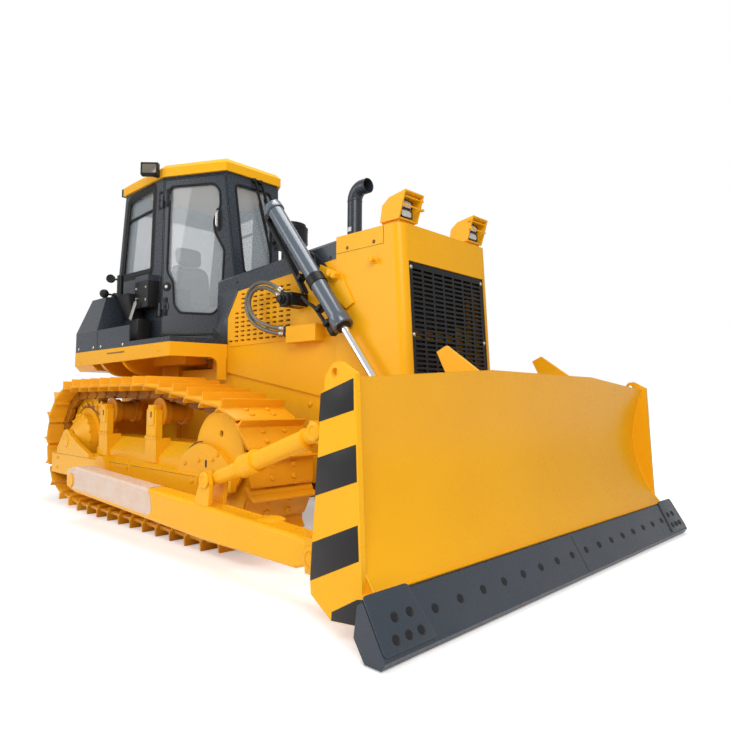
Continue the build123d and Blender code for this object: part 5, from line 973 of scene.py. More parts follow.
@dataclass
class Blade:
    """Face sheet, warning stripes, lips and pin bosses of the blade, and its bolted cutting edge."""

    end_face: float = 1.612
    foot: tuple[float, float] = (2.418, 0.214)
    heel: tuple[float, float] = (2.5423, 0.008)
    thickness: float = 0.032
    half: float = 1.694
    # Each stripe on the end plate: corners as x, z
    stripes: tuple = (
        ((2.112, 1.01), (2.308, 1.072), (2.312, 0.943), (2.101, 0.889)),
        ((2.094, 0.736), (2.325, 0.805), (2.332, 0.657), (2.081, 0.575)),
        ((2.067, 0.377), (2.338, 0.487), (2.346, 0.348), (2.056, 0.215)),
        ((2.19, 0.082), (2.193, 0.117), (2.337, 0.198), (2.4, 0.212), (2.418, 0.213), (2.478, 0.112)),
    )
    bolt_count: int = 16
    face_middle: tuple[float, float] = (2.215, 0.69)
    face_top: tuple[float, float] = (2.318, 1.146)
    face_half: float = 1.583
    # Where the face sheet stands out most, and over what height
    swell: tuple[float, float] = (0.98, 0.16)

    def edge_place(self, y: float = 0.0) -> Place:
        """Front face of the cutting edge, from its upper end down."""
        down = unit(np.array((self.heel[0] - self.foot[0], 0.0, self.heel[1] - self.foot[1])))
        out = np.array((-down[2], 0.0, down[0]))
        origin = np.array((self.foot[0], y, self.foot[1])) + out * self.thickness
        return Place(tuple(origin), (0, 1, 0), tuple(-down))

    def build(self) -> None:
        """Makes all pieces of the blade."""
        place = right_side(self.end_face)
        stripes = [slab(np.array(corners), 0.0016, 0.0004, place) for corners in self.stripes]
        build_pair("end_stripes", stripes, STRIPE, Body.BLADE)
        self.skin()
        self.edge()
        self.lips()
        self.pins()

    def front(self, z: Array) -> Array:
        """Front face of the moldboard at height z: the circle through its foot, deepest point and top."""
        points = np.array((self.foot, self.face_middle, self.face_top))
        squares = np.sum(points**2, axis=1)
        centre = np.linalg.solve(2 * (points[1:] - points[0]), squares[1:] - squares[0])
        radius = np.linalg.norm(points[0] - centre)
        return centre[0] - np.sqrt(radius**2 - (z - centre[1]) ** 2)

    def proud(self, z: Array, most: float) -> Array:
        """How far the face sheet stands out at height z: 1 mm + most exp(-((z - middle) / spread)^2)."""
        middle, spread = self.swell
        return 0.001 + most * np.exp(-(((z - middle) / spread) ** 2))

    def skin(self) -> None:
        """Rolled face sheet: the moldboard's circle lifted outward, and 4 mm inward for its back.

        Its top edge is level over the middle and falls evenly to both corners.
        """
        foot, margin = 0.222, 0.0005
        level_half, slope_run, corner_drop = 0.6, 0.994, 0.069
        y = np.linspace(-self.face_half - margin, self.face_half + margin, 120)[:, None]
        top = self.face_top[1] - margin - corner_drop * np.clip((np.abs(y) - level_half) / slope_run, 0, 1)
        z = foot + np.linspace(0, 1, 70)[None, :] * (top - foot)
        face = self.front(z)
        outer, inner = (points_of(x, y, z) for x in (face + self.proud(z, 0.011), face - 0.004))
        sheet = lofted(np.concatenate([outer, inner[:, ::-1]], axis=1))
        build("moldboard_sheet", [sheet], YELLOW, Body.BLADE)

    def edge(self) -> None:
        """Raised end bits, the middle seam and sunken bolt heads of the cutting edge."""
        place = self.edge_place()
        length = math.hypot(self.heel[0] - self.foot[0], self.heel[1] - self.foot[1])
        bit_width = 0.37
        spots = np.linspace(-self.half + bit_width, self.half - bit_width, self.bolt_count)
        bolt = ((0.0, 0.019), (0.0025, 0.019), (0.0035, 0.016), (0.001, 0.013), (0.0015, 0.004))
        round_head = turned(bolt, ORIGIN, 16)
        middle = on_place(place, [(y, -0.45 * length) for y in spots])
        ends = [(0.165, 0.36), (0.075, 0.36), (0.19, 0.68), (0.115, 0.68), (0.04, 0.68)]
        bits = on_place(place.at(0.05 - self.half, 0, 0.006), [(y, -share * length) for y, share in ends])
        build("edge_bolts", [round_head.copied(middle, place.matrix)], STRIPE, Body.BLADE)
        build_pair("bit_bolts", [round_head.copied(bits, place.matrix)], STRIPE, Body.BLADE)
        low = -length + 0.032
        bit = rounded(((0.004, 0.02), (0.265, 0.02), (0.315, low), (0.004, low)), 0.022, 5)
        build_pair("end_bits", [slab(bit, 0.006, 0.003, place.at(-self.half, 0))], EDGE, Body.BLADE)
        joint = rectangle(0.004, length - 0.03, 0.001, 2)
        upper = place.lift(np.array((-self.half, self.half)), 0.004, -0.004)
        seams = [
            slab(joint, 0.0014, 0.0004, place.at(0, 0.005 - length / 2)),
            pipe(upper, rectangle(0.006, 0.006, 0.002, 2), (0, 0, 1)),
        ]
        build("edge_seams", seams, IRON_AND_SHADOW, Body.BLADE)

    def lips(self) -> None:
        """Folded lip at the moldboard's foot and the bead where it meets the end plates."""
        end_gap = 0.1
        reach = np.array((end_gap - self.half, self.half - end_gap))
        line = self.edge_place().lift(reach, 0.016, 0.004 - self.thickness)
        build("moldboard_lip", [pipe(line, rectangle(0.02, 0.01, 0.004, 3), (0, 0, 1))], YELLOW, Body.BLADE)
        low, high = 0.23, 1.07
        height = np.linspace(low, high, 40)
        face = self.front(height) + self.proud(height, 0.01)
        weld = points_of(face, -self.face_half, height)
        build_pair("end_welds", [pipe(weld, circle(0.006, 8))], YELLOW, Body.BLADE)

    def pins(self) -> None:
        """Bosses of the arm's front pin and the brace's pins, and a level round lid."""
        ring = (
            (0.0, 0.062), (0.006, 0.062), (0.01, 0.056), (0.01, 0.04), (0.006, 0.038), (0.006, 0.03),
            (0.014, 0.028), (0.014, 0.01),
        )
        cap = ((0.0, 0.046), (0.01, 0.046), (0.014, 0.04), (0.014, 0.024), (0.01, 0.022), (0.01, 0.006))
        lid = ((0.0, 0.085), (0.01, 0.085), (0.018, 0.07), (0.018, 0.01))
        shells = [
            turned(ring, right_side(1.45, 1.879, 0.243)),
            turned(cap, right_side(1.443, 0.93, 0.52)),
            turned(cap, right_side(1.443, 1.878, 0.835)),
            turned(lid, flat_place(1.4, -1.33, 0.338)),
        ]
        build_pair("pin_caps", shells, YELLOW, Body.BLADE)


@dataclass
class PushArms:
    """Packing film of the push arms and collars of their braces."""

    middle: float = 1.375
    half: float = 0.075
    rear: tuple[float, float] = (0.93, 0.52)
    front: tuple[float, float] = (1.878, 0.835)
    # Collars of the brace: distance from the rear pin, radius, width
    collars: tuple = ((0.3, 0.0655, 0.016), (0.415, 0.0655, 0.012), (0.852, 0.054, 0.014))
    # Arm from the side: x of its stations, height of its top and its foot there
    stations: tuple = ((-1.11, -0.96, 0.898), (0.42, 0.448, 0.376), (0.28, 0.25, 0.178))

    def build(self) -> None:
        """Makes the brace collars and the film."""
        along = unit(np.array((self.front[0] - self.rear[0], self.front[1] - self.rear[1])))
        collars = []
        for distance, radius, width in self.collars:
            origin = (self.rear[0] + along[0] * distance, -self.middle, self.rear[1] + along[1] * distance)
            place = Place(origin, (0, 1, 0), (-along[1], 0, along[0]))
            inner, bevel = radius - 0.006, 0.003
            profile = ((0.0, inner), (bevel, radius), (width, radius), (width + bevel, inner))
            collars.append(turned(profile, place, 32))
        build_pair("brace_collars", collars, YELLOW, Body.BLADE)
        self.film()

    def film(self) -> None:
        """Film over the arm's rear: a strip round outer and top face, its border waving along the arm.

        The arm's section is followed round from the outer face's foot over the rounded edge to the top
        face's inner edge, and each point stands off by 1.5 mm plus small ripples.
        """
        columns, rows = 80, 48
        share = np.linspace(0, 1, columns)[None, :]
        around = np.linspace(0, 1, rows)[:, None]
        rear_end, reach = -1.095, 1.36
        x = rear_end + share * (reach + 0.05 * np.sin(5 * around) + 0.012 * np.sin(13 * around))
        stations, tops, feet = self.stations
        low = np.interp(x, stations, feet)
        height = np.interp(x, stations, tops) - low
        side_run, turn_run, top_run = 0.62, 0.12, 0.26
        corner, foot_gap, inner_gap = 0.022, 0.03, 0.045
        wall = np.clip(around / side_run, 0, 1)
        angle = np.clip((around - side_run) / turn_run, 0, 1) * math.pi / 2
        inward = np.clip((around - side_run - turn_run) / top_run, 0, 1)
        z = low + foot_gap + wall * (height - corner - foot_gap) + corner * np.sin(angle)
        y = -(self.middle + self.half) + corner * (1 - np.cos(angle)) + inward * (2 * self.half - inner_gap)
        lift = 0.0028 + 0.0012 * np.sin(31 * x + 8 * around) * np.sin(57 * around + 11 * x)
        clearance = 0.0004
        y, z = y - clearance, z + clearance
        outer, inner = (
            points_of(x, y - np.cos(angle) * off, z + np.sin(angle) * off) for off in (lift, 0 * lift)
        )
        loop = np.concatenate([outer, inner[::-1]], axis=0).transpose(1, 0, 2)
        build_pair("arm_film", [lofted(loop)], FILM, Body.BLADE, crease=60.0)


@dataclass
class Nose:
    """Radiator guard, hood, engine panels and lamp boxes: seams, screws, bars, skirts and lenses."""

    guard_side: float = 0.492
    lean: float = 0.064
    hood_side: float = 0.477
    lamp_middle: float = -0.376
    lens_face: float = 1.541
    lens_heights: tuple[float, float] = (2.191, 2.253)
    # Guard bars of the right lamp: x, z
    lamp_bars: tuple = ((1.592, 2.224), (1.586, 2.284))

    def guard_front(self, z: float) -> float:
        """Front face of the guard at height z."""
        return 1.656 - self.lean * (z - 1.0)

    def build(self) -> None:
        """Makes all pieces of the machine's nose."""
        self.seams()
        self.grille()
        self.lamps()
        self.panels()

    def seams(self) -> None:
        """Dark joint lines of the guard's top cover, with its latch screws, lifting lug and bolts."""
        side = right_side(self.guard_side)
        outer = right_side(self.guard_side + 0.0004)
        lines = (((1.448, 1.994), (1.448, 2.108)), ((1.008, 1.994), (1.446, 1.994)))
        build_pair("guard_seams", [seam(outer, line) for line in lines], IRON_AND_SHADOW)
        build_pair("guard_latches", [bolted(side, ((1.114, 2.02), (1.362, 2.02)), 0.01, 0.006)], METAL)
        lug = (
            (0.0, 0.024), (0.004, 0.024), (0.006, 0.015), (0.038, 0.015), (0.042, 0.021), (0.05, 0.021),
            (0.052, 0.016),
        )
        frame_spots = ((0.717, 0.955), (1.3, 0.9), (-0.1, 0.93))
        shells = [
            turned(lug, side.at(1.376, 1.895), 16),
            bolted(right_side(self.hood_side - 0.017), frame_spots, 0.018, 0.014),
        ]
        build_pair("guard_lugs", shells, YELLOW)

    def grille(self) -> None:
        """Domed bolts of the grille and the yellow bars seen through it."""
        dome = ((0.0, 0.014), (0.003, 0.014), (0.004, 0.01), (0.008, 0.008), (0.01, 0.005), (0.011, 0.002))
        shells = [
            turned(dome, front_face(self.guard_front(z) - 0.008, y, z, self.lean), 16)
            for y in (-0.395, 0.395)
            for z in (1.835, 1.4)
        ]
        build("grille_bolts", shells, ZINC)
        # Columns: width, height, corner radius, thickness, place
        bars = (
            (0.84, 0.034, 0.006, 0.02, front_face(1.57, 0.0, 1.388)),
            (0.84, 0.012, 0.004, 0.02, front_face(1.57, 0.0, 1.428)),
            (0.1, 0.33, 0.01, 0.012, front_face(1.54, 0.19, 1.33)),
        )
        shells = [slab(rectangle(*size), depth, 0.003, place) for *size, depth, place in bars]
        build("grille_bars", shells, YELLOW)

    def lens(self, z: float) -> Shell:
        """Lamp lens: radius r from rim to middle gives x + 12 mm (1 - r^4), with fine upright ribs.

        The rim is a circle squared by (cos^4 a + sin^4 a)^-1/4, and a ring behind it closes the foot.

        Args:
            z: height of its middle.

        Returns:
            The lens on the right side.
        """
        half_width, half_height, dome = 0.052, 0.024, 0.012
        rib_height, rib_pitch, foot_depth = 0.0008, 0.011, 0.006
        radius = np.linspace(1, 0.02, 14)[:, None]
        angle = full_turn(28)[None, :]
        squared = (np.abs(np.cos(angle)) ** 4 + np.abs(np.sin(angle)) ** 4) ** -0.25
        across = half_width * radius * squared * np.cos(angle)
        height = z + half_height * radius * squared * np.sin(angle)
        ribs = rib_height * np.cos(2 * math.pi * across / rib_pitch) * (1 - radius**8)
        x = self.lens_face + dome * (1 - radius**4) + ribs
        face = points_of(x, self.lamp_middle + across, height)
        foot = face[:1].copy()
        foot[..., 0] = self.lens_face - foot_depth
        return lofted(np.concatenate([foot, face]))

    def lamps(self) -> None:
        """Guard bars with ears, lenses with a domed face, and plinth screws of the lamp boxes."""
        bars = []
        middle, reach, half = self.lamp_middle, 0.094, 0.005
        far = reach + 0.014
        strip = rounded(((-reach, -half), (far, -half), (far, half), (-reach, half)), 0.003, 3)
        for x, z in self.lamp_bars:
            bars.append(slab(strip, 0.006, 0.0015, front_face(x, middle, z)))
            ear = front_face(x - 0.012, middle + reach + 0.006, z)
            bars.append(slab(rectangle(0.02, 0.018, 0.005, 3), 0.022, 0.002, ear))
        build_pair("lamp_bars", bars, YELLOW)
        build_pair("lamp_lenses", [self.lens(z) for z in self.lens_heights], LENS)
        rim = rectangle(0.108, 0.05, 0.012)
        bezels = [band(rim, front_face(self.lens_face, middle, z), 0.006, 0.006) for z in self.lens_heights]
        build_pair("lamp_bezels", bezels, PLASTIC)
        plinth = front_face(self.guard_front(2.126) - 0.052, middle)
        build_pair("plinth_screws", [bolted(plinth, ((-0.045, 2.126), (0.045, 2.126)), 0.009, 0.006)], YELLOW)

    def panels(self) -> None:
        """Dark skirt over the engine panel's rear end, hood screws and the fold along the panel's foot."""
        side = right_side(self.hood_side)
        build_pair("hood_screws", [bolted(side, ((-0.215, 1.962), (0.93, 1.985)), 0.01, 0.006)], IRON_AND_SHADOW)
        skirt = (
            (-0.552, 1.468), (-0.334, 1.468), (-0.339, 1.672), (-0.195, 1.875),
            (-0.195, 1.912), (-0.492, 1.88), (-0.492, 1.604), (-0.552, 1.604),
        )
        build_pair("panel_skirts", [slab(rounded(skirt, 0.006, 3), 0.006, 0.002, side)], DARK)
        fold = on_place(right_side(self.hood_side + 0.0015), ((-0.3, 1.428), (0.98, 1.428)))
        build_pair("panel_folds", [pipe(fold, rectangle(0.003, 0.01, 0.001, 2))], YELLOW)


@dataclass
class Stacks:
    """Bands, caps and blank labels of the exhaust pipe and the air pre-cleaner."""

    exhaust_x: float = 0.69
    cleaner_x: float = -0.115
    bend: float = 0.09
    bend_foot: float = 2.56
    mouth_x: float = 0.838

    def label(self, x: float, radius: float, low: float, high: float, start: float, end: float) -> Shell:
        """Blank patch curved round an upright pipe: (x + r cos a, r sin a, z) between two angles.

        Args:
            x: pipe's middle.
            radius: pipe's radius.
            low: lower edge.
            high: upper edge.
            start: first angle in degrees.
            end: last angle in degrees.

        Returns:
            The patch, 0.8 mm thick.
        """
        angle = np.radians(np.linspace(start, end, 16))[:, None]
        reach = radius + np.array((0.0, 0.0008, 0.0008, 0.0))
        height = np.array((low, low, high, high))
        return lofted(points_of(x + reach * np.cos(angle), reach * np.sin(angle), height))

    def exhaust(self) -> None:
        """Exhaust tube: rings square to a path that rises, follows a quarter circle and ends level.

        Behind the rim the rings go back inside the tube, so that its mouth is hollow.
        """
        bend, top = self.bend, self.bend_foot + self.bend
        angle = np.linspace(0, math.pi / 2, 20)
        corner_x = self.exhaust_x + bend * (1 - np.cos(angle))
        corner_z = self.bend_foot + bend * np.sin(angle)
        x = np.concatenate([[self.exhaust_x], corner_x, [self.mouth_x - 0.003, self.mouth_x]])
        z = np.concatenate([[2.19], corner_z, [top, top]])
        back = slice(-2, 8, -1)
        inner = len(x[back])
        radius = np.repeat((0.058, 0.0565, 0.0535, 0.053), (len(x) - 1, 1, 1, inner))[:, None]
        x = np.concatenate([x, [self.mouth_x], x[back]])[:, None]
        z = np.concatenate([z, [top], z[back]])[:, None]
        lean = np.clip((x - self.exhaust_x) / bend, 0, 1)
        turn = np.where(x >= self.exhaust_x + bend, math.pi / 2, np.arccos(1 - lean))
        around = full_turn(40)
        side, rise = radius * np.sin(around), radius * np.cos(around)
        tube = lofted(points_of(x - rise * np.cos(turn), side, z + rise * np.sin(turn)))
        here = flat_place(self.exhaust_x, 0.0, 0.0)
        foot = turned(((2.086, 0.058), (2.194, 0.058)), here, 40)
        collar = turned(((2.086, 0.069), (2.186, 0.07), (2.19, 0.066), (2.19, 0.05)), here, 40)
        build("exhaust_tube", [tube, foot, collar], DARK, replaces=("exhaust_pipe",))

    def build(self) -> None:
        """Makes the pieces of both stacks."""
        pipe_place = flat_place(self.exhaust_x, 0.0, 0.0)
        clamp = ((2.17, 0.0585), (2.173, 0.064), (2.19, 0.064), (2.193, 0.0585))
        weld = ((2.548, 0.0585), (2.551, 0.0605), (2.557, 0.0605), (2.56, 0.0585))
        build("exhaust_rings", [turned(ring, pipe_place, 40) for ring in (clamp, weld)], DARK)
        self.exhaust()
        cleaner = flat_place(self.cleaner_x, 0.0, 0.0)
        rings = [
            turned(((z, 0.1545), (z + 0.002, r), (z + 0.007, r), (z + 0.009, 0.1545)), cleaner, 48)
            for z, r in ((2.352, 0.158), (2.378, 0.1565), (2.458, 0.1565), (2.48, 0.158))
        ]
        lid = ((2.521, 0.137), (2.524, 0.134), (2.5245, 0.09), (2.526, 0.084), (2.526, 0.01))
        rings.append(turned(lid, cleaner, 48))
        build("precleaner_rings", rings, PLASTIC)
        labels = [
            self.label(self.cleaner_x, 0.155, 2.392, 2.44, -58, -18),
            self.label(self.exhaust_x, 0.058, 2.304, 2.338, -128, -72),
        ]
        build("stack_labels", labels, LABEL)


@dataclass
class LiftCylinders:
    """Pipes, clamps, caps and glands of the lift cylinders, and the swivel and fittings of their hoses."""

    pivot: tuple[float, float] = (0.91, 1.795)
    rod_pin: tuple[float, float] = (1.9, 0.56)
    middle: float = 0.576

    def axis(self, distance: float, drop: float = 0.0, out: float = 0.0) -> tuple[float, float, float]:
        """Point at a distance down the barrel from its pivot, off its underside and outward.

        Args:
            distance: along the barrel, towards the rod.
            drop: square to it, down and back.
            out: away from the machine.

        Returns:
            The point on the right side.
        """
        along = unit(np.array((self.rod_pin[0] - self.pivot[0], self.rod_pin[1] - self.pivot[1])))
        spot = np.array(self.pivot) + along * distance + np.array((along[1], -along[0])) * drop
        return (float(spot[0]), -self.middle - out, float(spot[1]))

    def ring_place(self, distance: float) -> Place:
        """Place across the barrel, facing its rod end."""
        here, ahead = np.array(self.axis(distance)), np.array(self.axis(distance + 1))
        along = ahead - here
        return Place(tuple(here), (0, 1, 0), (-along[2], 0, along[0]))

    def build(self) -> None:
        """Makes barrel, rod and fitting pieces."""
        rings = (
            ((-0.8285, 0.03), (-0.838, 0.045), (-0.834, 0.058), (-0.82, 0.0685), (-0.775, 0.0695),
             (-0.77, 0.061)),
            ((0.33, 0.061), (0.336, 0.0715), (0.408, 0.0715), (0.4165, 0.066), (0.4165, 0.04)),
        )
        across = self.ring_place(0.0)
        build_pair("barrel_ends", [turned(ring, across, 40) for ring in rings], BARREL, Body.BARREL)
        dark = [
            turned(((-0.056, 0.0605), (-0.052, 0.0665), (0.022, 0.0665), (0.026, 0.0605)), across, 40),
            turned(((0.4165, 0.05), (0.424, 0.05), (0.428, 0.044), (0.428, 0.03)), across, 32),
        ]
        dark += self.clamps()
        build_pair("barrel_bands", dark, PLASTIC, Body.BARREL)
        self.pipes()
        self.fittings()
        eye = ((0.0, 0.04), (0.006, 0.04), (0.009, 0.034), (0.009, 0.01))
        pin = right_side(self.middle + 0.0705, *self.rod_pin)
        build_pair("rod_pin_caps", [turned(eye, pin, 24)], YELLOW, Body.BLADE)

    def clamps(self) -> list[Shell]:
        """Clamp blocks that hold the pipes to the barrel, and the port block at its tail.

        Returns:
            The blocks.
        """
        # Columns: distance, drop, out, width, height, corner radius, depth, eased edge
        blocks = (
            (-0.15, 0.08736, 0.02, 0.066, 0.056, 0.01, 0.03, 0.003),
            (0.165, 0.07644, 0.02, 0.066, 0.056, 0.01, 0.03, 0.003),
            (0.3, 0.07644, 0.02, 0.066, 0.056, 0.01, 0.03, 0.003),
            (-0.805, 0.074, 0.012, 0.06, 0.044, 0.01, 0.052, 0.004),
            (0.345, 0.086, 0.006, 0.056, 0.05, 0.012, 0.06, 0.004),
        )
        across = self.ring_place(0.0)
        return [
            slab(rectangle(width, height, corner, 3), depth, edge, replace(across, origin=self.axis(*spot)))
            for *spot, width, height, corner, depth, edge in blocks
        ]

    def pipes(self) -> None:
        """Two long pipes from the tail port and one bent pipe to the nose port."""
        # Each point: distance and drop
        long_pipe = ((-0.77, 0.086), (-0.7, 0.088), (-0.4, 0.1), (-0.13, 0.112), (-0.02, 0.122))
        routes = [[self.axis(*spot, out) for spot in long_pipe] for out in (0.004, 0.036)]
        short_pipe = (
            (-0.01, 0.15, 0.036), (0.06, 0.142, 0.036), (0.13, 0.104, 0.03), (0.24, 0.1, 0.026),
            (0.352, 0.098, 0.018),
        )
        routes.append([self.axis(*spot) for spot in short_pipe])
        shells = [pipe(eased(route), circle(0.013, 12)) for route in routes]
        build_pair("barrel_pipes", shells, PLASTIC, Body.BARREL)

    def fittings(self) -> None:
        """Ferrules and nuts at the hoses' ends, the swivel and its block, the bracket's cover and bolts."""
        hoses = Hoses()
        sleeve = (
            (-0.002, 0.018), (0.002, 0.0205), (0.014, 0.0205), (0.018, 0.0185), (0.024, 0.0205),
            (0.05, 0.0205), (0.055, 0.0175),
        )
        ferrules, nuts = [], []
        for _, inset in hoses.insets:
            corners = hoses.corners(inset) * (1, -1, 1)
            for end, beside in ((corners[0], corners[1]), (corners[-1], corners[-2])):
                inward = unit(beside - end)
                side = unit(np.cross(inward, (0, 1, 0)))
                place = Place(tuple(end), tuple(side), tuple(np.cross(inward, side)))
                ferrules.append(turned(sleeve, place, 20))
                nuts.append(slab(circle(0.026, 6), 0.026, 0.003, place.at(0, 0, -0.034)))
        build_pair("hose_ferrules", ferrules, ZINC)
        swivel = right_side(0.62, 0.634, 1.7)
        body = (
            (0.0, 0.052), (0.01, 0.056), (0.036, 0.056), (0.04, 0.05), (0.042, 0.034), (0.06, 0.034),
            (0.064, 0.03), (0.064, 0.008),
        )
        nuts.append(turned(body, swivel, 28))
        nuts.append(slab(circle(0.03, 6), 0.018, 0.003, swivel.at(0, 0, 0.064)))
        block = rounded(((-0.058, -0.048), (0.062, -0.048), (0.062, 0.052), (-0.058, 0.052)), 0.014, 4)
        nuts.append(slab(block, 0.15, 0.005, right_side(0.4775, 0.6335, 1.702)))
        build_pair("hose_swivels", nuts, PLASTIC)
        cover = (
            (0.0, 0.074), (0.014, 0.074), (0.02, 0.068), (0.02, 0.05), (0.026, 0.046), (0.03, 0.04),
            (0.03, 0.01),
        )
        saddle = rounded(((-0.08, 0.000), (0.02, -0.15), (0.17, -0.17), (0.19, -0.06), (0.06, 0.06)), 0.03, 5)
        place = right_side(0.4765, 0.715, 1.985)
        build_pair("saddle_covers", [turned(cover, place, 36), slab(saddle, 0.014, 0.004, place)], PLASTIC)
        cap = right_side(0.556)
        build_pair("bracket_bolts", [bolted(cap, ((1.002, 1.846), (1.042, 1.825)), 0.014, 0.012)], YELLOW)


@dataclass
class Cab:
    """Window rubbers, sash, handles, locks, hinges, wipers and lamps of the cab, and the gear beside it."""

    half: float = 0.602
    kink: float = -1.268
    door_angle: float = 27.5
    side_window: tuple = ((-2.105, 2.225), (-1.462, 2.209), (-1.432, 3.041), (-1.985, 3.015))
    door_window: tuple = (
        (0.074, 2.985), (0.535, 2.975), (0.6, 2.905), (0.608, 2.75), (0.54, 2.63), (0.556, 2.518),
        (0.655, 2.35), (0.636, 1.84), (0.552, 1.76), (0.205, 1.785), (0.142, 1.86), (0.125, 2.08),
        (0.058, 2.18),
    )
    windshield: tuple = ((-0.15, -0.425), (0.15, -0.425), (0.205, 0.425), (-0.205, 0.425))
    windshield_lean: float = 0.108
    # Door handle: across the door, height, out of it
    handle: tuple = (
        (0.592, 2.56, 0.026), (0.592, 2.566, 0.036), (0.592, 2.62, 0.038), (0.592, 2.696, 0.036),
        (0.592, 2.702, 0.026),
    )
    hinge_bolts: tuple[float, float, float] = (-0.06, 0.0, 0.06)
    # Wiper arms on the windshield's wall: pivot, tip, distance off it
    wiper_arms: tuple = (((0.005, 0.505), (0.115, 0.0), 0.022), ((0.075, 0.505), (0.185, 0.06), 0.024))
    # Air duct's sections: height, rear, front, inner and outer side
    duct: tuple = (
        (1.735, -1.665, -1.555, 0.632, 0.742), (1.8, -1.7, -1.555, 0.632, 0.755),
        (1.96, -1.8, -1.565, 0.63, 0.785), (1.99, -1.81, -1.565, 0.628, 0.79),
    )

    def door(self) -> Place:
        """The right door's outer face, from its hinge edge."""
        turn = math.radians(self.door_angle)
        return Place((self.kink, -self.half, 0.0), (math.cos(turn), math.sin(turn), 0), (0, 0, 1))

    def glass_front(self) -> Place:
        """Outer face of the windshield wall, about its middle."""
        return front_face(-0.628, 0.0, 2.56, self.windshield_lean)

    def build(self) -> None:
        """Makes every piece of the cab."""
        self.rubbers()
        self.sash()
        self.door_pieces()
        self.wipers()
        self.roof()
        self.gear()

    def rubbers(self) -> None:
        """Black beads round every window."""
        side = rounded(self.side_window, 0.055, 8)
        beads = [band(side, right_side(self.half), *bead) for bead in ((0.03, 0.01), (0.076, 0.005))]
        build_pair("side_window_rubber", beads, RUBBER)
        pane = rounded(self.door_window, 0.04, 6)
        build_pair("door_window_rubber", [band(pane, self.door(), 0.022, 0.009)], RUBBER, Body.DOOR)
        front = rounded(self.windshield, 0.055, 8)
        build("windshield_rubber", [band(front, self.glass_front(), 0.024, 0.009)], RUBBER)
        rear = Place((-2.1335, 0.0, 2.56), (0, -1, 0), (0.1456, 0, 1))
        build("rear_window_rubber", [band(rectangle(0.964, 0.76, 0.055, 8), rear, 0.024, 0.009)], RUBBER)

    def sash(self) -> None:
        """Bar across the side window, its sliding frame and the small latch."""
        bar = np.array([(-2.012, -0.582, 2.8), (-1.445, -0.582, 2.822)])
        inner = rounded(((-2.09, 2.24), (-1.476, 2.224), (-1.45, 3.022), (-1.99, 2.998)), 0.045, 6)
        latch = rectangle(0.02, 0.075, 0.006, 3)
        shells = [
            pipe(bar, rectangle(0.016, 0.036, 0.004, 3)),
            band(inner, right_side(0.59), 0.016, 0.012),
            slab(latch, 0.02, 0.003, right_side(0.578, -1.478, 2.56)),
        ]
        build_pair("side_sash", shells, RUBBER)

    def door_pieces(self) -> None:
        """Bright handle on its black plate, lock boss, hinge leaves and edge seal of the door."""
        door = self.door()
        across, height, out = np.array(self.handle).T
        grip = eased(door.lift(across, height, out), 2)
        lock = door.at(0.062, 2.035)
        button = ((0.004, 0.017), (0.012, 0.016), (0.014, 0.012), (0.014, 0.004))
        bar = pipe(grip, rectangle(0.024, 0.01, 0.004, 3), tuple(door.matrix[:, 2]))
        build_pair("door_bright", [bar, turned(button, lock, 20)], ZINC, Body.DOOR)
        rim = rounded(((0.016, 1.585), (0.67, 1.585), (0.758, 2.1), (0.642, 3.05), (0.016, 3.05)), 0.03, 5)
        dark = [
            slab(rectangle(0.052, 0.215, 0.02, 5), 0.006, 0.002, door.at(0.592, 2.631)),
            turned(((0.0, 0.042), (0.004, 0.042), (0.006, 0.036), (0.006, 0.01)), lock, 28),
            band(rim, door, 0.009, 0.003),
        ]
        spots = []
        for z in (1.85, 2.881):
            dark.append(slab(rectangle(0.04, 0.17, 0.01), 0.009, 0.002, door.at(0.052, z)))
            spots += [(0.054, z + step) for step in self.hinge_bolts]
        dark.append(bolted(door.at(0, 0, 0.009), spots, 0.009, 0.006))
        build_pair("door_black", dark, PLASTIC, Body.DOOR)
        straps = []
        for z in (1.842, 2.873):
            leaf = right_side(self.half, self.kink - 0.05, z)
            straps.append(slab(rectangle(0.044, 0.17, 0.01), 0.011, 0.002, leaf))
            spots = [(0.0, step) for step in self.hinge_bolts]
            straps.append(bolted(leaf.at(0, 0, 0.011), spots, 0.009, 0.007))
        build_pair("hinge_straps", straps, PLASTIC)

    def wipers(self) -> None:
        """Two wipers with pivots under the roof's edge: arm, blade and pivot cap."""
        face = self.glass_front()
        pivot_cap = ((-0.002, 0.024), (0.026, 0.022), (0.032, 0.014), (0.032, 0.004))
        behind, ahead = 0.3, 0.2
        shells = []
        for pivot, tip, out in self.wiper_arms:
            start, end = np.array(pivot), np.array(tip)
            across, up = np.stack([start, (start + end) / 2, end]).T
            arm = face.lift(across, up, np.array((out, out + 0.01, out)))
            shells.append(pipe(arm, rectangle(0.014, 0.02, 0.003, 3), (1, 0, 0)))
            along = unit(end - start)
            across, up = np.stack([end - along * behind, end + along * ahead]).T
            shells.append(pipe(face.lift(across, up, 0.013), rectangle(0.012, 0.02, 0.002, 2), (1, 0, 0)))
            shells.append(turned(pivot_cap, face.at(*pivot), 20))
        build("wipers", shells, RUBBER)

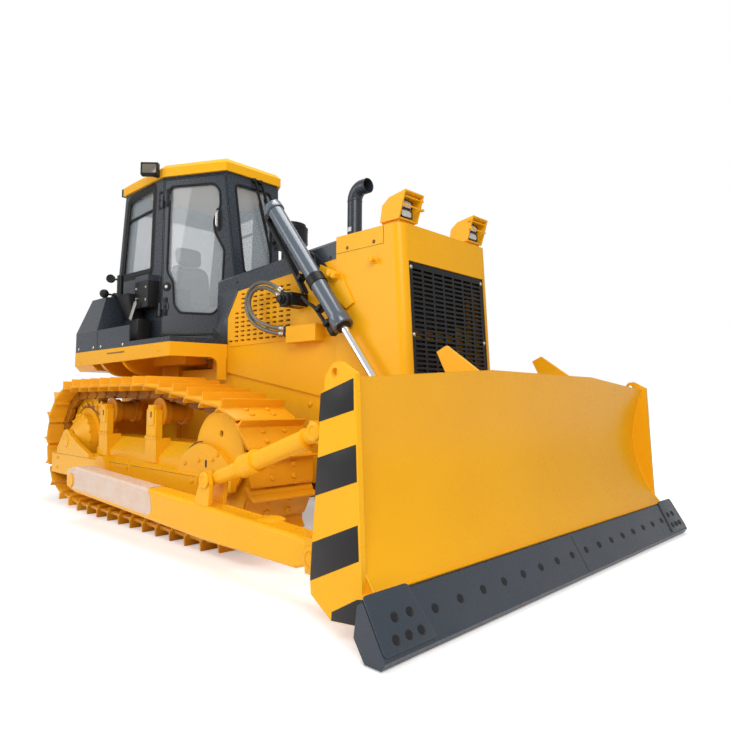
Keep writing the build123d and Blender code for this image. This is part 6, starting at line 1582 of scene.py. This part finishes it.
    def roof(self) -> None:
        """Stub on the roof, door lamp shells with cooling fins, and their lenses."""
        nub = ((0.0, 0.02), (0.003, 0.021), (0.004, 0.013), (0.004, 0.005))
        build("roof_stub", [turned(nub, flat_place(-1.205, -0.42, 3.2005), 24)], ZINC)
        lamp = Place((-1.33, -0.712, 3.145), (1, 1, 0), (0, 0, 1))
        front = lamp.at(0, 0, 0.03)
        back = replace(lamp.at(0, 0, -0.03), across=(-1, -1, 0))
        lens = slab(rectangle(0.13, 0.086, 0.012), 0.003, 0.001, front)
        build_pair("door_lamp_lenses", [lens], DIM_LENS)
        shells = [band(rectangle(0.146, 0.102, 0.014), front, 0.01, 0.006)]
        fin = rectangle(0.006, 0.098, 0.002, 2)
        shells += [slab(fin, 0.012, 0.001, back.at(-0.06 + 0.02 * index, 0.0)) for index in range(7)]
        build_pair("door_lamp_shells", shells, PLASTIC)

    def gear(self) -> None:
        """Black gear box beside the door, the tapering air duct and the battery case behind the low panel,
        with their bright fittings and a pale strip of painted highlight.
        """
        box = slab(rectangle(0.262, 0.258, 0.012), 0.118, 0.006, right_side(self.half, -1.4325, 1.97))
        case = slab(rectangle(0.29, 0.29, 0.012), 0.13, 0.006, right_side(self.half + 0.02, -1.555, 1.593))
        rings = []
        for z, x0, x1, y0, y1 in self.duct:
            outline = rounded(((x0, -y1), (x1, -y1), (x1, -y0), (x0, -y0)), 0.02, 4)
            rings.append(points_of(*outline.T, z))
        build_pair("gear_boxes", [box, case, lofted(np.stack(rings))], PLASTIC)
        # Painted highlight: a pale strip where a white streak of light runs up beside the duct.
        strip = ((-1.53, -0.772, 1.735), (-1.458, -0.757, 1.895))
        lever = ((-1.48, -0.722, 1.93), (-1.48, -0.745, 1.93))
        spots = ((-1.335, 2.03), (-1.335, 1.91), (-1.53, 2.03), (-1.53, 1.91))
        bright = [
            pipe(strip, rectangle(0.05, 0.006, 0.002, 2)),
            pipe(lever, circle(0.012, 12), (0, 0, 1)),
            bolted(right_side(self.half + 0.118), spots, 0.01, 0.007),
        ]
        build_pair("gear_fittings_and_highlight", bright, ZINC)


@dataclass
class SideBoxes:
    """Bolts, caps and seams of the dark side boxes and the yellow skirt under them, and a dark plate of
    painted shadow in the skirt's slot.
    """

    face: float = 0.948

    def build(self) -> None:
        """Makes the pieces of both sides."""
        round_bolt = ((0.0, 0.015), (0.002, 0.015), (0.004, 0.01), (0.006, 0.007), (0.006, 0.002))
        side = right_side(self.face)
        spots = on_place(side, ((-2.271, 1.48), (-1.919, 1.48), (-1.749, 1.48), (-1.283, 1.472)))
        build_pair("box_bolts", [turned(round_bolt, ORIGIN, 14).copied(spots, side.matrix)], ZINC)
        filler = (
            (0.0, 0.05), (0.022, 0.05), (0.024, 0.042), (0.03, 0.04), (0.052, 0.038), (0.056, 0.03),
            (0.056, 0.008),
        )
        ball = (
            (-0.03, 0.01), (-0.024, 0.028), (-0.006, 0.04), (0.018, 0.042), (0.024, 0.04), (0.024, 0.034),
            (0.02, 0.03), (0.02, 0.006),
        )
        stalk = eased(((-1.86, -0.76, 1.978), (-1.86, -0.79, 2.003), (-1.86, -0.85, 2.006)))
        tube = ((-1.778, -0.765, 1.975), (-1.778, -0.765, 2.188))
        arm = eased(((-1.778, -0.765, 2.15), (-1.83, -0.785, 2.155), (-1.865, -0.795, 2.163)))
        dark = [
            turned(filler, flat_place(-1.96, -0.72, 1.985), 28),
            turned(ball, Place((-1.86, -0.88, 2.008), (0, -1, 0), (0, 0, 1)), 24),
            pipe(stalk, circle(0.009, 10), (1, 0, 0)),
            turned(ball, Place((-1.885, -0.81, 2.165), (0.7, 0.7, 0), (0, 0, 1)), 24),
            pipe(tube, circle(0.03, 20), (1, 0, 0)),
            pipe(arm, circle(0.01, 10), (0, 0, 1)),
        ]
        build_pair("box_caps", dark, PLASTIC)
        outer = right_side(self.face + 0.0004)
        lines = (((-1.831, 1.452), (-1.831, 1.636)), ((-2.346, 1.45), (-1.165, 1.45)))
        build_pair("box_seams", [seam(outer, line) for line in lines], IRON_AND_SHADOW)
        skirt = right_side(self.face + 0.002)
        # Painted shadow: a thin dark plate where the skirt's slot is.
        slot = slab(rectangle(0.36, 0.014, 0.006), 0.0014, 0.0004, skirt.at(-1.42, 1.405))
        build_pair("skirt_slot_shadows", [slot], METAL)
        build_pair("skirt_bolts", [bolted(skirt, ((-0.62, 1.385), (-2.2, 1.34)), 0.01, 0.007)], YELLOW)


@dataclass
class OperatorSeat:
    """Padded seat: cushion, back and head rest as crowned forms with sewn channels, on its base."""

    x: float = -1.58
    floor: float = 1.56

    def pad(self, size: tuple[float, float, float], channels: int, squareness: float = 0.42) -> Array:
        """Crowned pad about its middle, thin along its last axis.

        A superellipsoid: each direction cosine is raised to the squareness, and the thick direction is
        pressed in along the sewn channels by a narrow cosine groove.

        Args:
            size: length, width and thickness.
            channels: sewn lines across the length.
            squareness: exponent, smaller is boxier.

        Returns:
            Rings of points.
        """
        rows, columns = 60, 80
        around = np.linspace(-math.pi, math.pi, columns, endpoint=False)[None, :]
        up = np.linspace(-math.pi / 2 + 0.02, math.pi / 2 - 0.02, rows)[:, None]

        def power(value: Array, exponent: float) -> Array:
            """Signed power."""
            return np.sign(value) * np.abs(value) ** exponent

        x = size[0] / 2 * power(np.cos(up), squareness) * power(np.cos(around), squareness)
        y = size[1] / 2 * power(np.cos(up), squareness) * power(np.sin(around), squareness)
        z = size[2] / 2 * power(np.sin(up), 0.75)
        if channels:
            wave = np.cos(math.pi * (x / size[0] + 0.5) * (channels + 1))
            groove = np.exp(-((wave / 0.22) ** 2)) * 0.012
            z = z - np.sign(z) * groove * np.clip(1 - np.abs(2 * y / size[1]) ** 6, 0, 1)
        return points_of(x, y, z)

    def build(self) -> None:
        """Makes the three pads and the base with the head rest's posts."""
        low = self.floor + 0.245
        lean = math.atan2(0.1, 0.68)
        tilt = np.array([(0, 0, 1.0), (0, 1.0, 0), (1.0, 0, 0)])
        cos, sin = math.cos(lean), math.sin(lean)
        turn_back = np.array([(cos, 0, -sin), (0, 1, 0), (sin, 0, cos)])
        # Columns: name, size, sewn channels, turn, middle, nodes that it stands for
        pads = (
            ("seat_cushion", (0.49, 0.49, 0.135), 3, None, (self.x, 0, low + 0.068), ("seat",)),
            ("seat_back", (0.47, 0.45, 0.115), 4, tilt, (self.x - 0.215, 0, low + 0.37), ()),
            ("head_rest", (0.19, 0.29, 0.09), 0, tilt, (self.x - 0.262, 0, low + 0.705), ()),
        )
        for name, size, channels, turn, middle, replaced in pads:
            rings = self.pad(size, channels)
            if turn is not None:
                rings = rings @ turn.T @ turn_back.T
            pad = build(name, [lofted(rings + np.array(middle))], SEAT, replaces=replaced, crease=60.0)
        base = slab(rectangle(0.36, 0.3, 0.03), 0.235, 0.01, flat_place(self.x, 0, self.floor))
        tray = slab(rectangle(0.44, 0.44, 0.05), 0.02, 0.005, flat_place(self.x, 0, self.floor + 0.23))
        posts = [
            pipe(((self.x - 0.245, y, low + 0.56), (self.x - 0.256, y, low + 0.68)), circle(0.008, 10))
            for y in (-0.07, 0.07)
        ]
        build("seat_base", [base, tray, *posts], PLASTIC)


def main() -> None:
    """Builds the studio and dresses the machine in order."""
    logging.basicConfig(level=logging.INFO)
    Studio().build()
    bpy.context.scene.view_settings.view_transform = "Standard"
    Paintwork().dress()
    for part in (Hoses, Tracks, Undercarriage, Blade, PushArms, Nose, Stacks, LiftCylinders, Cab, SideBoxes,
                 OperatorSeat):
        part().build()
        LOG.info("%s done", part.__name__)


if __name__ == "__main__":
    main()
